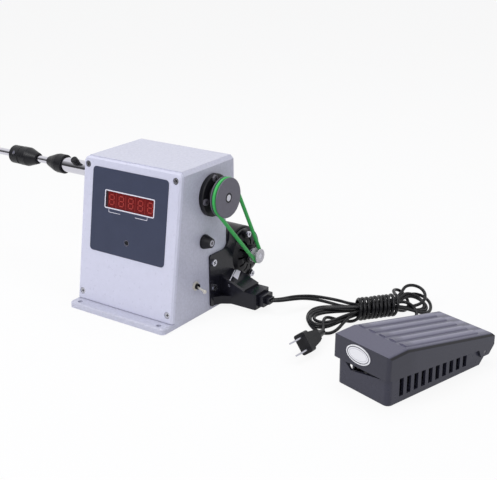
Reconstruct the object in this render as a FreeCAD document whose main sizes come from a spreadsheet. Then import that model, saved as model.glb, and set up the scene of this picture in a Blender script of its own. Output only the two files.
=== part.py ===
import FreeCAD, Part
import Sketcher
import math
import os
import re
from FreeCAD import Placement, Rotation, Vector

# Bench coil winder: a cast housing with a counter on its sloping front cover, a winding
# spindle through both side walls, a round-belt drive from a motor behind the right wall,
# and a foot pedal on its lead.
# Frame: millimetres, +Z up, the cover faces -Y, the pulley and the controls are at +X and
# the winding mandrel points along -X. The origin is on the resting plane, midway between
# the two mounting holes of the front flange.

doc = FreeCAD.newDocument("CoilWinder")
sheet = doc.addObject("Spreadsheet::Sheet", "Sizes")

# ---------------------------------------------------------------- driving dimensions
SIZES = [
    # cast housing
    ("body_width", 130.0), ("body_height", 160.0), ("body_round", 8.0), ("wall_thick", 4.0),
    ("base_thick", 6.5), ("flange_depth", 13.3), ("hole_setback", 6.0), ("hole_spacing", 109.0),
    ("mount_hole_dia", 5.5), ("back_top", 121.0), ("back_low", 105.5), ("step_drop", 55.0),
    ("step_height", 8.0), ("edge_bevel", 4.0), ("front_tilt", 8.8),
    # front cover and counter
    ("cover_thick", 5.0), ("cover_bevel", 1.8), ("cover_screw_side", 6.5), ("cover_screw_low", 9.0),
    ("cover_screw_drop", 8.3), ("cover_screw_dia", 4.0), ("cover_head_dia", 6.4),
    ("boss_dia", 9.5), ("boss_length", 15.0),
    ("overlay_width", 101.0), ("overlay_height", 89.5), ("overlay_drop", 8.8),
    ("overlay_thick", 0.6), ("overlay_round", 4.0),
    ("window_width", 65.0), ("window_drop", 23.0), ("window_height", 17.5), ("window_centre", 1.0),
    ("window_thick", 2.5), ("digit_block_depth", 8.0), ("digit_count", 5), ("digit_pitch", 12.4),
    ("digit_height", 14.2), ("digit_width", 8.0), ("segment_width", 1.3),
    ("board_width", 92.0), ("board_height", 68.0), ("board_rise", 5.0), ("board_thick", 1.6),
    ("button_rise", 15.8), ("button_dia", 4.6), ("button_travel", 1.5), ("button_hole_dia", 5.4),
    # spindle line
    ("spindle_y", 80.0), ("spindle_drop", 33.7), ("shaft_dia", 10.0), ("shaft_nose_dia", 8.0),
    ("flange_dia", 45.0), ("flange_thick", 5.0), ("spigot_dia", 31.0), ("hub_dia", 24.0),
    ("hub_proud", 3.0), ("flange_screw_circle", 38.0), ("flange_screw_count", 4),
    ("flange_screw_turn", 97.0), ("flange_head_dia", 7.0), ("flange_head_height", 2.4),
    ("bearing_dia", 26.0), ("bearing_width", 8.0), ("running_gap", 0.05), ("seat_gap", 0.3),
    # belt drive
    ("belt_reach", 17.0), ("belt_dia", 4.0), ("big_belt_radius", 19.4), ("small_belt_radius", 6.5),
    ("pulley_dia", 42.0), ("pulley_width", 8.4), ("groove_half", 3.0), ("pulley_hub_dia", 18.0),
    ("motor_pulley_dia", 16.0), ("motor_pulley_hub_dia", 10.0),
    # chuck and mandrel
    ("chuck_dia", 17.0), ("chuck_reach", 83.0), ("thumb_reach", 56.0), ("thumb_dia", 8.0),
    ("thumb_height", 7.0), ("thumb_shank_dia", 4.0), ("thumb_lean", 40.0),
    ("rod_dia", 8.0), ("rod_inset", 52.0), ("rod_reach", 235.0), ("rod_tail_dia", 7.0),
    ("rod_tail_length", 18.0), ("rod_tail_bevel", 0.5),
    ("cone_overlap", 4.3), ("inner_cone_body", 13.6), ("inner_cone_length", 26.5),
    ("cone_wide_dia", 22.0), ("cone_tip_dia", 10.5), ("cone_gap", 18.1),
    ("outer_cone_nose", 14.3), ("outer_cone_length", 25.2), ("outer_tip_dia", 13.0),
    ("collar_dia", 21.4), ("collar_length", 16.0), ("set_screw_dia", 5.0), ("collar_lean", 62.0),
    # counter pick-up
    ("disc_dia", 36.0), ("disc_x", 20.0), ("disc_thick", 2.0), ("magnet_dia", 4.0),
    # controls on the right wall
    ("knob_y", 64.6), ("knob_z", 79.6), ("knob_dia", 15.5), ("knob_top_dia", 10.4),
    ("knob_length", 10.0), ("pot_dia", 16.5), ("pot_depth", 9.0), ("pot_shaft_dia", 6.0),
    ("switch_y", 47.5), ("switch_z", 36.0), ("switch_bush_dia", 6.0), ("switch_nut_across", 8.5),
    ("switch_nut_thick", 2.2), ("lever_length", 11.5), ("lever_droop", 19.0),
    ("lever_root_dia", 2.0), ("lever_ball_dia", 4.4),
    # motor
    ("motor_z", 44.7), ("casing_radius", 29.5), ("casing_back", 25.0), ("casing_setback", 3.5),
    ("casing_wall", 2.5), ("motor_offset", 31.3), ("cap_radius", 24.5), ("cap_height", 8.0),
    ("cap_crown", 16.0), ("cap_vent_count", 12), ("cap_vent_width", 2.2),
    ("cap_screw_circle", 48.0), ("cap_ear_height", 6.0), ("cap_screw_turn", 97.0),
    ("cap_screw_dia", 4.0), ("cap_head_dia", 6.6), ("motor_shaft_dia", 6.0), ("armature_dia", 40.0),
    ("armature_length", 44.0), ("motor_bearing_dia", 14.0), ("commutator_dia", 22.0),
    ("commutator_length", 12.0),
    ("bracket_thick", 2.0), ("bracket_front", 71.6), ("bracket_foot", 3.5),
    ("bracket_shoulder", 61.5), ("bracket_horn", 78.0), ("bracket_ring", 27.5),
    ("bracket_screw_y", 76.6), ("bracket_screw_low", 24.6), ("bracket_screw_high", 52.8),
    ("bracket_head_dia", 7.4),
    # terminal box, socket and plug-in connector
    ("nose_reach", 47.0), ("nose_front", 88.8), ("nose_back", 115.5), ("nose_foot", 4.5),
    ("nose_top", 22.0), ("nose_step_reach", 33.0), ("nose_step_top", 24.0),
    ("nose_root_top", 35.5), ("nose_bevel", 1.5), ("flare_height", 9.0),
    ("nose_root_front", 76.0), ("nose_root_reach", 16.0),
    ("socket_y", 103.6), ("socket_z", 13.0), ("socket_width", 19.0), ("socket_height", 13.0),
    ("socket_depth", 15.0), ("connector_proud", 6.0), ("pin_dia", 3.0), ("pin_length", 11.0),
    # foot pedal, in its own frame: X across, Y from toe to heel
    ("pedal_x", 286.6), ("pedal_y", 0.6), ("pedal_yaw", 16.2), ("base_width", 62.5),
    ("base_length", 124.0), ("base_heel", 136.0), ("base_toe_height", 27.2),
    ("base_heel_height", 17.6), ("pedal_wall", 2.5), ("foot_height", 0.8), ("foot_dia", 12.0),
    ("vent_count", 10), ("vent_pitch", 9.45), ("vent_width", 5.2), ("vent_start", 16.8),
    ("vent_foot", 6.3), ("tread_width", 68.0), ("tread_toe", 3.4), ("tread_heel", 141.0),
    ("tread_toe_top", 49.4), ("tread_crease_y", 20.9), ("tread_crease_z", 50.6),
    ("tread_heel_top", 30.0), ("tread_heel_low", 18.0), ("tread_wall", 2.2),
    ("tread_round", 3.6), ("skirt_toe", 26.8), ("skirt_heel", 17.6),
    ("rib_count", 5), ("rib_pitch", 12.3), ("rib_width", 9.6), ("rib_height", 1.2),
    ("rib_start", 2.5), ("rib_length", 100.0), ("pin_y", 127.9), ("pin_z", 13.8),
    ("hinge_pin_dia", 4.0), ("badge_length", 29.0), ("badge_height", 17.0), ("badge_thick", 0.8),
    ("badge_z", 39.2), ("badge_x", 2.3), ("spring_dia", 12.0), ("spring_wire", 1.4),
    ("spring_turns", 5), ("spring_y", 24.0), ("pedal_gland_y", 104.0), ("gland_dia", 8.0),
    # leads
    ("cord_dia", 3.4), ("wrap_dia", 24.0), ("hank_floor", 0.4), ("hank_left_top", 13.4),
    ("hank_right_top", 19.4), ("grip_start", 10.0), ("grip_length", 20.0), ("slab_length", 8.0),
    ("plug_width", 21.0), ("plug_thick", 12.5), ("blade_length", 17.0), ("blade_width", 6.3),
    ("blade_thick", 1.5), ("blade_gap", 12.7),
]

for row, (alias, value) in enumerate(SIZES, start=1):
    sheet.set(f"A{row}", alias.replace("_", " "))
    sheet.set(f"B{row}", str(value))
    sheet.setAlias(f"B{row}", alias)
doc.recompute()

ALIAS = re.compile(r"\b(" + "|".join(alias for alias, _ in SIZES) + r")\b")


def bound(text):
    """The expression with each size named as a cell of the sheet."""
    return ALIAS.sub(r"Sizes.\1", str(text))


def number(text):
    """The present value of an expression."""
    return float(sheet.evalExpression(bound(text)))


def bind(item, prop, text):
    item.setExpression(prop, bound(text))


# Lengths that several pieces share, as expressions of the driving dimensions.
WALL_X = "(body_width / 2)"
COVER_Y = "(flange_depth - hole_setback)"
COVER_HEIGHT = "((body_height - base_thick) / cos(front_tilt))"
RIM_Y = f"({COVER_Y} + cover_thick / cos(front_tilt))"
RIM_TOP_Y = f"({RIM_Y} + (body_height - base_thick) * tan(front_tilt))"
COVER_SCREW_X = f"({WALL_X} - cover_screw_side)"
OVERLAY_HIGH = f"({COVER_HEIGHT} - overlay_drop)"
OVERLAY_LOW = f"({OVERLAY_HIGH} - overlay_height)"
WINDOW_LOW = f"({OVERLAY_HIGH} - window_drop - window_height)"
BUTTON_UP = f"({OVERLAY_LOW} + button_rise)"
BOARD_LOW = f"({OVERLAY_LOW} + board_rise)"
STEP_TOP = "(body_height - step_drop)"
STEP_LOW = f"({STEP_TOP} - step_height)"
SPINDLE_Z = "(body_height - spindle_drop)"
SPINDLE = ("spindle_y", SPINDLE_Z)
MOTOR_Y = "(back_low + motor_offset)"
MOTOR = (MOTOR_Y, "motor_z")
DRUM_END = f"({WALL_X} - casing_setback)"
BRACKET_X = f"({WALL_X} + bracket_thick)"
CAP_X = f"({WALL_X} + cap_height)"
BELT_X = f"({WALL_X} + belt_reach)"
SHAFT_RIGHT = f"({BELT_X} + pulley_width / 2)"
NOSE_END = f"({WALL_X} + nose_reach)"
# Places along the mandrel, as distances to -X of the housing's middle.
CHUCK_END = f"({WALL_X} + chuck_reach)"
THUMB_X = f"({WALL_X} + thumb_reach)"
ROD_ROOT = f"({CHUCK_END} - rod_inset)"
ROD_END = f"({WALL_X} + rod_reach)"
INNER_WIDE = f"({CHUCK_END} - cone_overlap)"
INNER_STEP = f"({INNER_WIDE} + inner_cone_body)"
INNER_TIP = f"({INNER_WIDE} + inner_cone_length)"
OUTER_TIP = f"({INNER_TIP} + cone_gap)"
OUTER_STEP = f"({OUTER_TIP} + outer_cone_nose)"
OUTER_WIDE = f"({OUTER_TIP} + outer_cone_length)"

ALONG_X = Rotation(Vector(0, 1, 0), 90)      # turns +Z to +X
ALONG_MINUS_X = Rotation(Vector(0, 1, 0), -90)
UPRIGHT = Rotation(Vector(0, -1, 0), 90)     # turns +X to +Z
TILT = number("front_tilt")
COVER_TURN = Rotation(Vector(-1, 0, 0), TILT)
# +Z of a screw drawn upright points out of the cover after this turn.
COVER_OUT = COVER_TURN.multiply(Rotation(Vector(1, 0, 0), 90))
PEDAL_TURN = Rotation(Vector(0, 0, -1), number("pedal_yaw"))

SUB_PARTS = []


# ---------------------------------------------------------------- building blocks
def keep(item, label):
    """Name a finished sub-part and list it for the hand-over."""
    item.Label = label
    SUB_PARTS.append(item)
    return item


def place(item, at, turn=None):
    """Put an item at three expressions, after an optional turn."""
    if turn is not None:
        item.Placement = Placement(Vector(), turn)
    for axis, text in zip("xyz", at):
        bind(item, f"Placement.Base.{axis}", text)
    return item


def on_cover(across, up, depth="0"):
    """A place on the sloping cover: across, up its face, and depth into the housing."""
    return (across,
            f"{COVER_Y} + ({up}) * sin(front_tilt) + ({depth}) * cos(front_tilt)",
            f"base_thick + ({up}) * cos(front_tilt) - ({depth}) * sin(front_tilt)")


def on_pedal(across, along, height):
    """A place given in the pedal's own frame."""
    return (f"pedal_x + ({across}) * cos(pedal_yaw) + ({along}) * sin(pedal_yaw)",
            f"pedal_y - ({across}) * sin(pedal_yaw) + ({along}) * cos(pedal_yaw)", height)


def origin_item(body, role):
    return next(item for item in body.Origin.OriginFeatures if item.Role == role)


def new_body(name):
    return doc.addObject("PartDesign::Body", name)


def new_sketch(body, role, shift=("0", "0", "0"), turn=None):
    """A sketch on an origin plane of its body, moved by expressions in the plane's axes."""
    sketch = body.newObject("Sketcher::SketchObject", body.Name + "_sketch")
    sketch.AttachmentSupport = [(origin_item(body, role), "")]
    sketch.MapMode = "FlatFace"
    if turn is not None:
        sketch.AttachmentOffset = Placement(Vector(), turn)
    for axis, text in zip("xyz", shift):
        if text != "0":
            bind(sketch, f"AttachmentOffset.Base.{axis}", text)
    return sketch


def fix_point(sketch, geometry, point, x_text, y_text):
    """Hold one point of a sketch at two expressions."""
    for kind, text in (("DistanceX", x_text), ("DistanceY", y_text)):
        index = sketch.addConstraint(
            Sketcher.Constraint(kind, -1, 1, geometry, point, number(text)))
        sketch.setExpression(f"Constraints[{index}]", bound(text))


def polygon(sketch, points):
    """A closed outline through points given as pairs of expressions."""
    first = sketch.GeometryCount
    spots = [Vector(number(x), number(y), 0) for x, y in points]
    for index, spot in enumerate(spots):
        sketch.addGeometry(Part.LineSegment(spot, spots[(index + 1) % len(spots)]))
    for index, (x_text, y_text) in enumerate(points):
        following = first + (index + 1) % len(points)
        sketch.addConstraint(Sketcher.Constraint("Coincident", first + index, 2, following, 1))
        fix_point(sketch, first + index, 1, x_text, y_text)


def rectangle(sketch, low, high):
    polygon(sketch, [(low[0], low[1]), (high[0], low[1]), (high[0], high[1]), (low[0], high[1])])


def circle(sketch, x_text, y_text, radius):
    geometry = sketch.addGeometry(
        Part.Circle(Vector(number(x_text), number(y_text), 0), Vector(0, 0, 1), number(radius)))
    index = sketch.addConstraint(Sketcher.Constraint("Radius", geometry, number(radius)))
    sketch.setExpression(f"Constraints[{index}]", bound(radius))
    fix_point(sketch, geometry, 3, x_text, y_text)


def pad(body, sketch, length, both_ways=False, reverse=False):
    feature = body.newObject("PartDesign::Pad", body.Name + "_pad")
    feature.Profile = sketch
    feature.SideType = "Symmetric" if both_ways else "One side"
    feature.Reversed = reverse
    bind(feature, "Length", length)
    doc.recompute()
    return feature


def cut(body, sketch, length=None, both_ways=False, reverse=False):
    """A pocket that has to take material away; with no length it goes right through."""
    before = body.Shape.Volume
    feature = body.newObject("PartDesign::Pocket", body.Name + "_cut")
    feature.Profile = sketch
    feature.SideType = "Symmetric" if both_ways else "One side"
    feature.Reversed = reverse
    if length is None:
        feature.Type = "ThroughAll"
    else:
        bind(feature, "Length", length)
    doc.recompute()
    if not body.Shape.Volume < before - 0.01:
        raise RuntimeError(f"{feature.Label} cuts nothing")
    return feature


def settled(feature):
    """Recompute and insist that the feature came out well."""
    doc.recompute()
    if "Invalid" in feature.State or feature.Shape.isNull():
        raise RuntimeError(f"{feature.Label} does not build")
    return feature


def round_edges(body, radius, chosen):
    """A fillet on the edges for which chosen(edge) holds."""
    base = body.Tip
    names = [f"Edge{index}" for index, edge in enumerate(base.Shape.Edges, start=1)
             if chosen(edge)]
    feature = body.newObject("PartDesign::Fillet", body.Name + "_round")
    feature.Base = (base, names)
    bind(feature, "Radius", radius)
    return settled(feature)


def bevel_edges(body, size, chosen):
    """A chamfer on the edges for which chosen(edge) holds."""
    base = body.Tip
    names = [f"Edge{index}" for index, edge in enumerate(base.Shape.Edges, start=1)
             if chosen(edge)]
    feature = body.newObject("PartDesign::Chamfer", body.Name + "_bevel")
    feature.Base = (base, names)
    bind(feature, "Size", size)
    return settled(feature)


def runs_along(edge, direction):
    """True for a straight edge that is parallel to a direction."""
    if edge.Length < 0.01 or len(edge.Vertexes) < 2:
        return False
    chord = edge.Vertexes[-1].Point - edge.Vertexes[0].Point
    return abs(chord.Length - edge.Length) < 1e-4 \
        and abs(chord.dot(direction)) > 0.999 * edge.Length


def turned(label, profile, at, turn=None):
    """A turned piece: (axial, radius) expressions, revolved about the body's X axis."""
    body = new_body(label)
    sketch = new_sketch(body, "XY_Plane")
    polygon(sketch, profile)
    feature = body.newObject("PartDesign::Revolution", label + "_turn")
    feature.Profile = sketch
    feature.ReferenceAxis = (sketch, ["H_Axis"])
    feature.Angle = 360
    doc.recompute()
    place(body, at, turn)
    return keep(body, label)


def cylinder(name, radius, height, at, turn=None):
    item = doc.addObject("Part::Cylinder", name)
    bind(item, "Radius", radius)
    bind(item, "Height", height)
    return place(item, at, turn)


def block(name, size, at, turn=None):
    """A box whose low corner is at three expressions."""
    item = doc.addObject("Part::Box", name)
    for prop, text in zip(("Length", "Width", "Height"), size):
        bind(item, prop, text)
    return place(item, at, turn)


def fused(name, items):
    item = doc.addObject("Part::MultiFuse", name)
    item.Shapes = items
    return item


def cut_from(name, base, tool):
    item = doc.addObject("Part::Cut", name)
    item.Base = base
    item.Tool = tool
    return item


def group(label, items):
    """Several separate solids of one kind in one node."""
    item = doc.addObject("Part::Compound", label)
    item.Links = items
    return keep(item, label)


def screw(name, seat, turn, head_dia, head_height, shank_dia, shank_length):
    """A round-headed screw whose head stands on its seat, out along the turned +Z."""
    shaft = cylinder(name + "_shank", f"{shank_dia} / 2", shank_length,
                     ("0", "0", f"-({shank_length})"))
    head = cylinder(name + "_head", f"{head_dia} / 2", head_height, ("0", "0", "0"))
    return place(fused(name, [shaft, head]), seat, turn)


def around(centre, circle_dia, degrees):
    """Y and Z of a place on a circle about an axis along X."""
    return (f"{centre[0]} + ({circle_dia}) / 2 * cos({degrees})",
            f"{centre[1]} + ({circle_dia}) / 2 * sin({degrees})")


# ---------------------------------------------------------------- cast housing
def flange_screw_places():
    count = int(number("flange_screw_count"))
    return [around(SPINDLE, "flange_screw_circle", f"(flange_screw_turn + {360 * index / count})")
            for index in range(count)]


def cover_screw_places():
    return [(f"{side} * {COVER_SCREW_X}", up)
            for up in ("cover_screw_low", f"({COVER_HEIGHT} - cover_screw_drop)")
            for side in (-1, 1)]


def make_housing():
    body = new_body("housing")
    side = new_sketch(body, "YZ_Plane")
    polygon(side, [(RIM_Y, "0"), (RIM_Y, "base_thick"), (RIM_TOP_Y, "body_height"),
                   ("back_top", "body_height"), ("back_top", STEP_TOP),
                   ("back_low", STEP_LOW), ("back_low", "0")])
    pad(body, side, "body_width", both_ways=True)

    top, low_back = number("body_height"), number("back_low")
    along_x, along_y, along_z = Vector(1, 0, 0), Vector(0, 1, 0), Vector(0, 0, 1)

    def back_edge(edge):
        middle = edge.CenterOfMass
        return middle.y > low_back - 1 and middle.z > 1 and not runs_along(edge, along_y)

    bevel_edges(body, "edge_bevel",
                lambda edge: runs_along(edge, along_y) and edge.CenterOfMass.z > top - 1)
    round_edges(body, "body_round / 2", back_edge)

    hollow = new_sketch(body, "YZ_Plane")
    polygon(hollow, [(f"{RIM_Y} - cover_thick * 2", "base_thick"),
                     ("back_low - wall_thick", "base_thick"),
                     ("back_low - wall_thick", STEP_LOW),
                     ("back_top - wall_thick", STEP_TOP),
                     ("back_top - wall_thick", "body_height - wall_thick * 1.5"),
                     (f"{RIM_TOP_Y} - cover_thick * 2", "body_height - wall_thick * 1.5")])
    cut(body, hollow, "body_width - wall_thick * 2", both_ways=True)

    plate = new_sketch(body, "XY_Plane")
    rectangle(plate, (f"-{WALL_X}", "-hole_setback"), (WALL_X, f"{RIM_Y} + wall_thick"))
    pad(body, plate, "base_thick")
    front = number("-hole_setback")
    round_edges(body, "base_thick * 0.7",
                lambda edge: runs_along(edge, along_z) and abs(edge.CenterOfMass.y - front) < 0.1)
    thick = number("base_thick")
    bevel_edges(body, "base_thick / 5",
                lambda edge: runs_along(edge, along_x) and abs(edge.CenterOfMass.y - front) < 0.1
                and abs(edge.CenterOfMass.z - thick) < 0.1)

    lean = Rotation(Vector(1, 0, 0), -TILT)
    rim = ("0", "base_thick", f"-{RIM_Y}")
    posts = new_sketch(body, "XZ_Plane", rim, lean)
    for across, up in cover_screw_places():
        circle(posts, across, f"{up} - cover_thick * tan(front_tilt)", "boss_dia / 2")
    pad(body, posts, "boss_length", reverse=True)
    taps = new_sketch(body, "XZ_Plane", rim, lean)
    for across, up in cover_screw_places():
        circle(taps, across, f"{up} - cover_thick * tan(front_tilt)", "cover_screw_dia / 2")
    cut(body, taps, "boss_length - wall_thick / 2")

    mount_holes = new_sketch(body, "XY_Plane")
    for side_sign in (-1, 1):
        circle(mount_holes, f"{side_sign} * hole_spacing / 2", "0", "mount_hole_dia / 2")
    cut(body, mount_holes, both_ways=True)

    through = new_sketch(body, "YZ_Plane")
    circle(through, *SPINDLE, "spigot_dia / 2 + running_gap")
    for y_text, z_text in flange_screw_places():
        circle(through, y_text, z_text, "cover_screw_dia / 2")
    cut(body, through, both_ways=True)

    right_wall = new_sketch(body, "YZ_Plane", ("0", "0", WALL_X))
    circle(right_wall, "knob_y", "knob_z", "pot_shaft_dia / 2 + 1")
    circle(right_wall, "switch_y", "switch_z", "switch_bush_dia / 2 + running_gap")
    for height in ("bracket_screw_low", "bracket_screw_high"):
        circle(right_wall, "bracket_screw_y", height, "cover_screw_dia / 2")
    cut(body, right_wall, "wall_thick")
    keep(body, "housing")


def make_cover():
    body = new_body("front_cover")
    plate = new_sketch(body, "XZ_Plane")
    rectangle(plate, (f"-{WALL_X}", "cover_thick * tan(front_tilt) + 0.1"), (WALL_X, COVER_HEIGHT))
    pad(body, plate, "cover_thick", reverse=True)
    along_y = Vector(0, 1, 0)
    round_edges(body, "body_round * 0.75",
                lambda edge: runs_along(edge, along_y) and edge.CenterOfMass.z > 10)
    bevel_edges(body, "cover_bevel",
                lambda edge: abs(edge.CenterOfMass.y) < 0.01 and edge.CenterOfMass.z > 2)
    openings = new_sketch(body, "XZ_Plane")
    rectangle(openings, ("window_centre - window_width / 2 + 1.5", f"{WINDOW_LOW} + 1.5"),
              ("window_centre + window_width / 2 - 1.5", f"{WINDOW_LOW} + window_height - 1.5"))
    circle(openings, "window_centre - 1", BUTTON_UP, "button_hole_dia / 2")
    for across, up in cover_screw_places():
        circle(openings, across, up, "cover_screw_dia / 2 + 0.2")
    cut(body, openings, both_ways=True)
    recess = new_sketch(body, "XZ_Plane")
    for across, up in cover_screw_places():
        circle(recess, across, up, "cover_head_dia / 2 + 0.4")
    cut(body, recess, "cover_thick * 0.55")
    rebate = new_sketch(body, "XZ_Plane")
    rectangle(rebate, ("window_centre - window_width / 2", WINDOW_LOW),
              ("window_centre + window_width / 2", f"{WINDOW_LOW} + window_height"))
    cut(body, rebate, "window_thick")
    place(body, on_cover("0", "0"), COVER_TURN)
    keep(body, "front_cover")

    screws = [screw(f"cover_screw_{index}", on_cover(across, up, "cover_thick * 0.55"), COVER_OUT,
                    "cover_head_dia", "2.2", "(cover_screw_dia - 0.1)", "boss_length - 3")
              for index, (across, up) in enumerate(cover_screw_places())]
    group("cover_screws", screws)


def make_overlay():
    body = new_body("display_overlay")
    face = new_sketch(body, "XZ_Plane")
    rectangle(face, ("-overlay_width / 2", OVERLAY_LOW), ("overlay_width / 2", OVERLAY_HIGH))
    rectangle(face, ("window_centre - window_width / 2", WINDOW_LOW),
              ("window_centre + window_width / 2", f"{WINDOW_LOW} + window_height"))
    circle(face, "window_centre - 1", BUTTON_UP, "button_hole_dia / 2")
    pad(body, face, "overlay_thick")
    along_y = Vector(0, 1, 0)
    reach = number("overlay_width / 2")
    round_edges(body, "overlay_round",
                lambda edge: runs_along(edge, along_y)
                and abs(abs(edge.CenterOfMass.x) - reach) < 0.1)
    place(body, on_cover("0", "0"), COVER_TURN)
    keep(body, "display_overlay")


def segment_boxes(centre):
    """The seven bars of one digit: low and high corners across and up."""
    half, bar = "digit_width / 2", "segment_width"
    middle = f"{WINDOW_LOW} + window_height / 2"
    low, high = f"{middle} - digit_height / 2", f"{middle} + digit_height / 2"
    bars = []
    for height in (low, f"{middle} - {bar} / 2", f"{high} - {bar}"):
        bars.append(((f"{centre} - {half} + {bar} * 1.2", height),
                     (f"{centre} + {half} - {bar} * 1.2", f"{height} + {bar}")))
    for side in (f"{centre} - {half}", f"{centre} + {half} - {bar}"):
        bars.append(((side, f"{low} + {bar}"), (f"{side} + {bar}", f"{middle} - {bar}")))
        bars.append(((side, f"{middle} + {bar}"), (f"{side} + {bar}", f"{high} - {bar}")))
    return bars


def make_counter():
    window = block("display_window",
                   ("window_width - 0.2", "window_thick - 0.1", "window_height - 0.2"),
                   on_cover("window_centre - window_width / 2 + 0.1", f"{WINDOW_LOW} + 0.1", "0"),
                   COVER_TURN)
    keep(window, "display_window")

    module = new_body("digit_module")
    case = new_sketch(module, "XZ_Plane", ("0", "0", "-(cover_thick + seat_gap)"))
    rectangle(case, ("window_centre - window_width / 2 + 2", f"{WINDOW_LOW} + 1"),
              ("window_centre + window_width / 2 - 2", f"{WINDOW_LOW} + window_height - 1"))
    pad(module, case, "digit_block_depth", reverse=True)
    bars = new_sketch(module, "XZ_Plane", ("0", "0", "-(cover_thick + seat_gap)"))
    count = int(number("digit_count"))
    for index in range(count):
        centre = f"window_centre + ({index - (count - 1) / 2}) * digit_pitch"
        for low, high in segment_boxes(centre):
            rectangle(bars, low, high)
    cut(module, bars, "0.4")
    place(module, on_cover("0", "0"), COVER_TURN)
    keep(module, "digit_module")

    back = "cover_thick + seat_gap + digit_block_depth"
    board = block("counter_board_plate", ("board_width", "board_thick", "board_height"),
                  on_cover("-board_width / 2", BOARD_LOW, back), COVER_TURN)
    chip = block("counter_chip", ("26", "3", "9"),
                 on_cover("-13", f"{BOARD_LOW} + 24", f"{back} + board_thick"), COVER_TURN)
    relay = block("counter_relay", ("16", "12", "12"),
                  on_cover("22", f"{BOARD_LOW} + 6", f"{back} + board_thick"), COVER_TURN)
    switch_depth = f"{back} - (cover_thick + button_travel)"
    switch = block("reset_switch", ("7", f"{switch_depth} - 1.5", "7"),
                   on_cover("window_centre - 4.5", f"{BUTTON_UP} - 3.5",
                            "cover_thick + button_travel + 1.5"), COVER_TURN)
    posts = []
    for across in ("-board_width / 2 + 4", "board_width / 2 - 4"):
        for up in (f"{BOARD_LOW} + 4", f"{BOARD_LOW} + board_height - 8"):
            posts.append(cylinder("board_post", "2.5", f"{back} - cover_thick",
                                  on_cover(across, up, back), COVER_OUT))
    keep(fused("counter_board", [board, chip, relay, switch] + posts), "counter_board")

    stem = "cover_thick + overlay_thick + 0.4"
    turned("reset_button",
           [("0", "0"), ("0", "button_hole_dia / 2 + 0.8"), ("1", "button_hole_dia / 2 + 0.8"),
            ("1", "button_dia / 2"), (stem, "button_dia / 2"), (stem, "0")],
           on_cover("window_centre - 1", BUTTON_UP, "cover_thick + 1"),
           COVER_OUT.multiply(UPRIGHT))


# ---------------------------------------------------------------- spindle line
def bearing_flange(label, outward, turn, mirror):
    """A flanged bearing carrier; the axial sizes run outward from the wall's outer face."""
    inside = "-(wall_thick + bearing_width * 0.75)"
    lip = "flange_thick - bearing_width / 2"
    body = turned(label, [
        (inside, "bearing_dia / 2"), (inside, "spigot_dia / 2"), ("0", "spigot_dia / 2"),
        ("0", "flange_dia / 2"), ("flange_thick - 1", "flange_dia / 2"),
        ("flange_thick", "flange_dia / 2 - 1"), ("flange_thick", "hub_dia / 2"),
        ("flange_thick + hub_proud", "hub_dia / 2 - 1"),
        ("flange_thick + hub_proud", "shaft_dia / 2 + 1.5"), (lip, "shaft_dia / 2 + 1.5"),
        (lip, "bearing_dia / 2")], (outward, *SPINDLE), turn)
    holes = new_sketch(body, "YZ_Plane")
    count = int(number("flange_screw_count"))
    for index in range(count):
        across, up = around(("0", "0"), "flange_screw_circle",
                            f"(flange_screw_turn + {360 * index / count})")
        circle(holes, f"{mirror} * ({across})", up, "cover_screw_dia / 2")
    cut(body, holes, both_ways=True)


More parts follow.
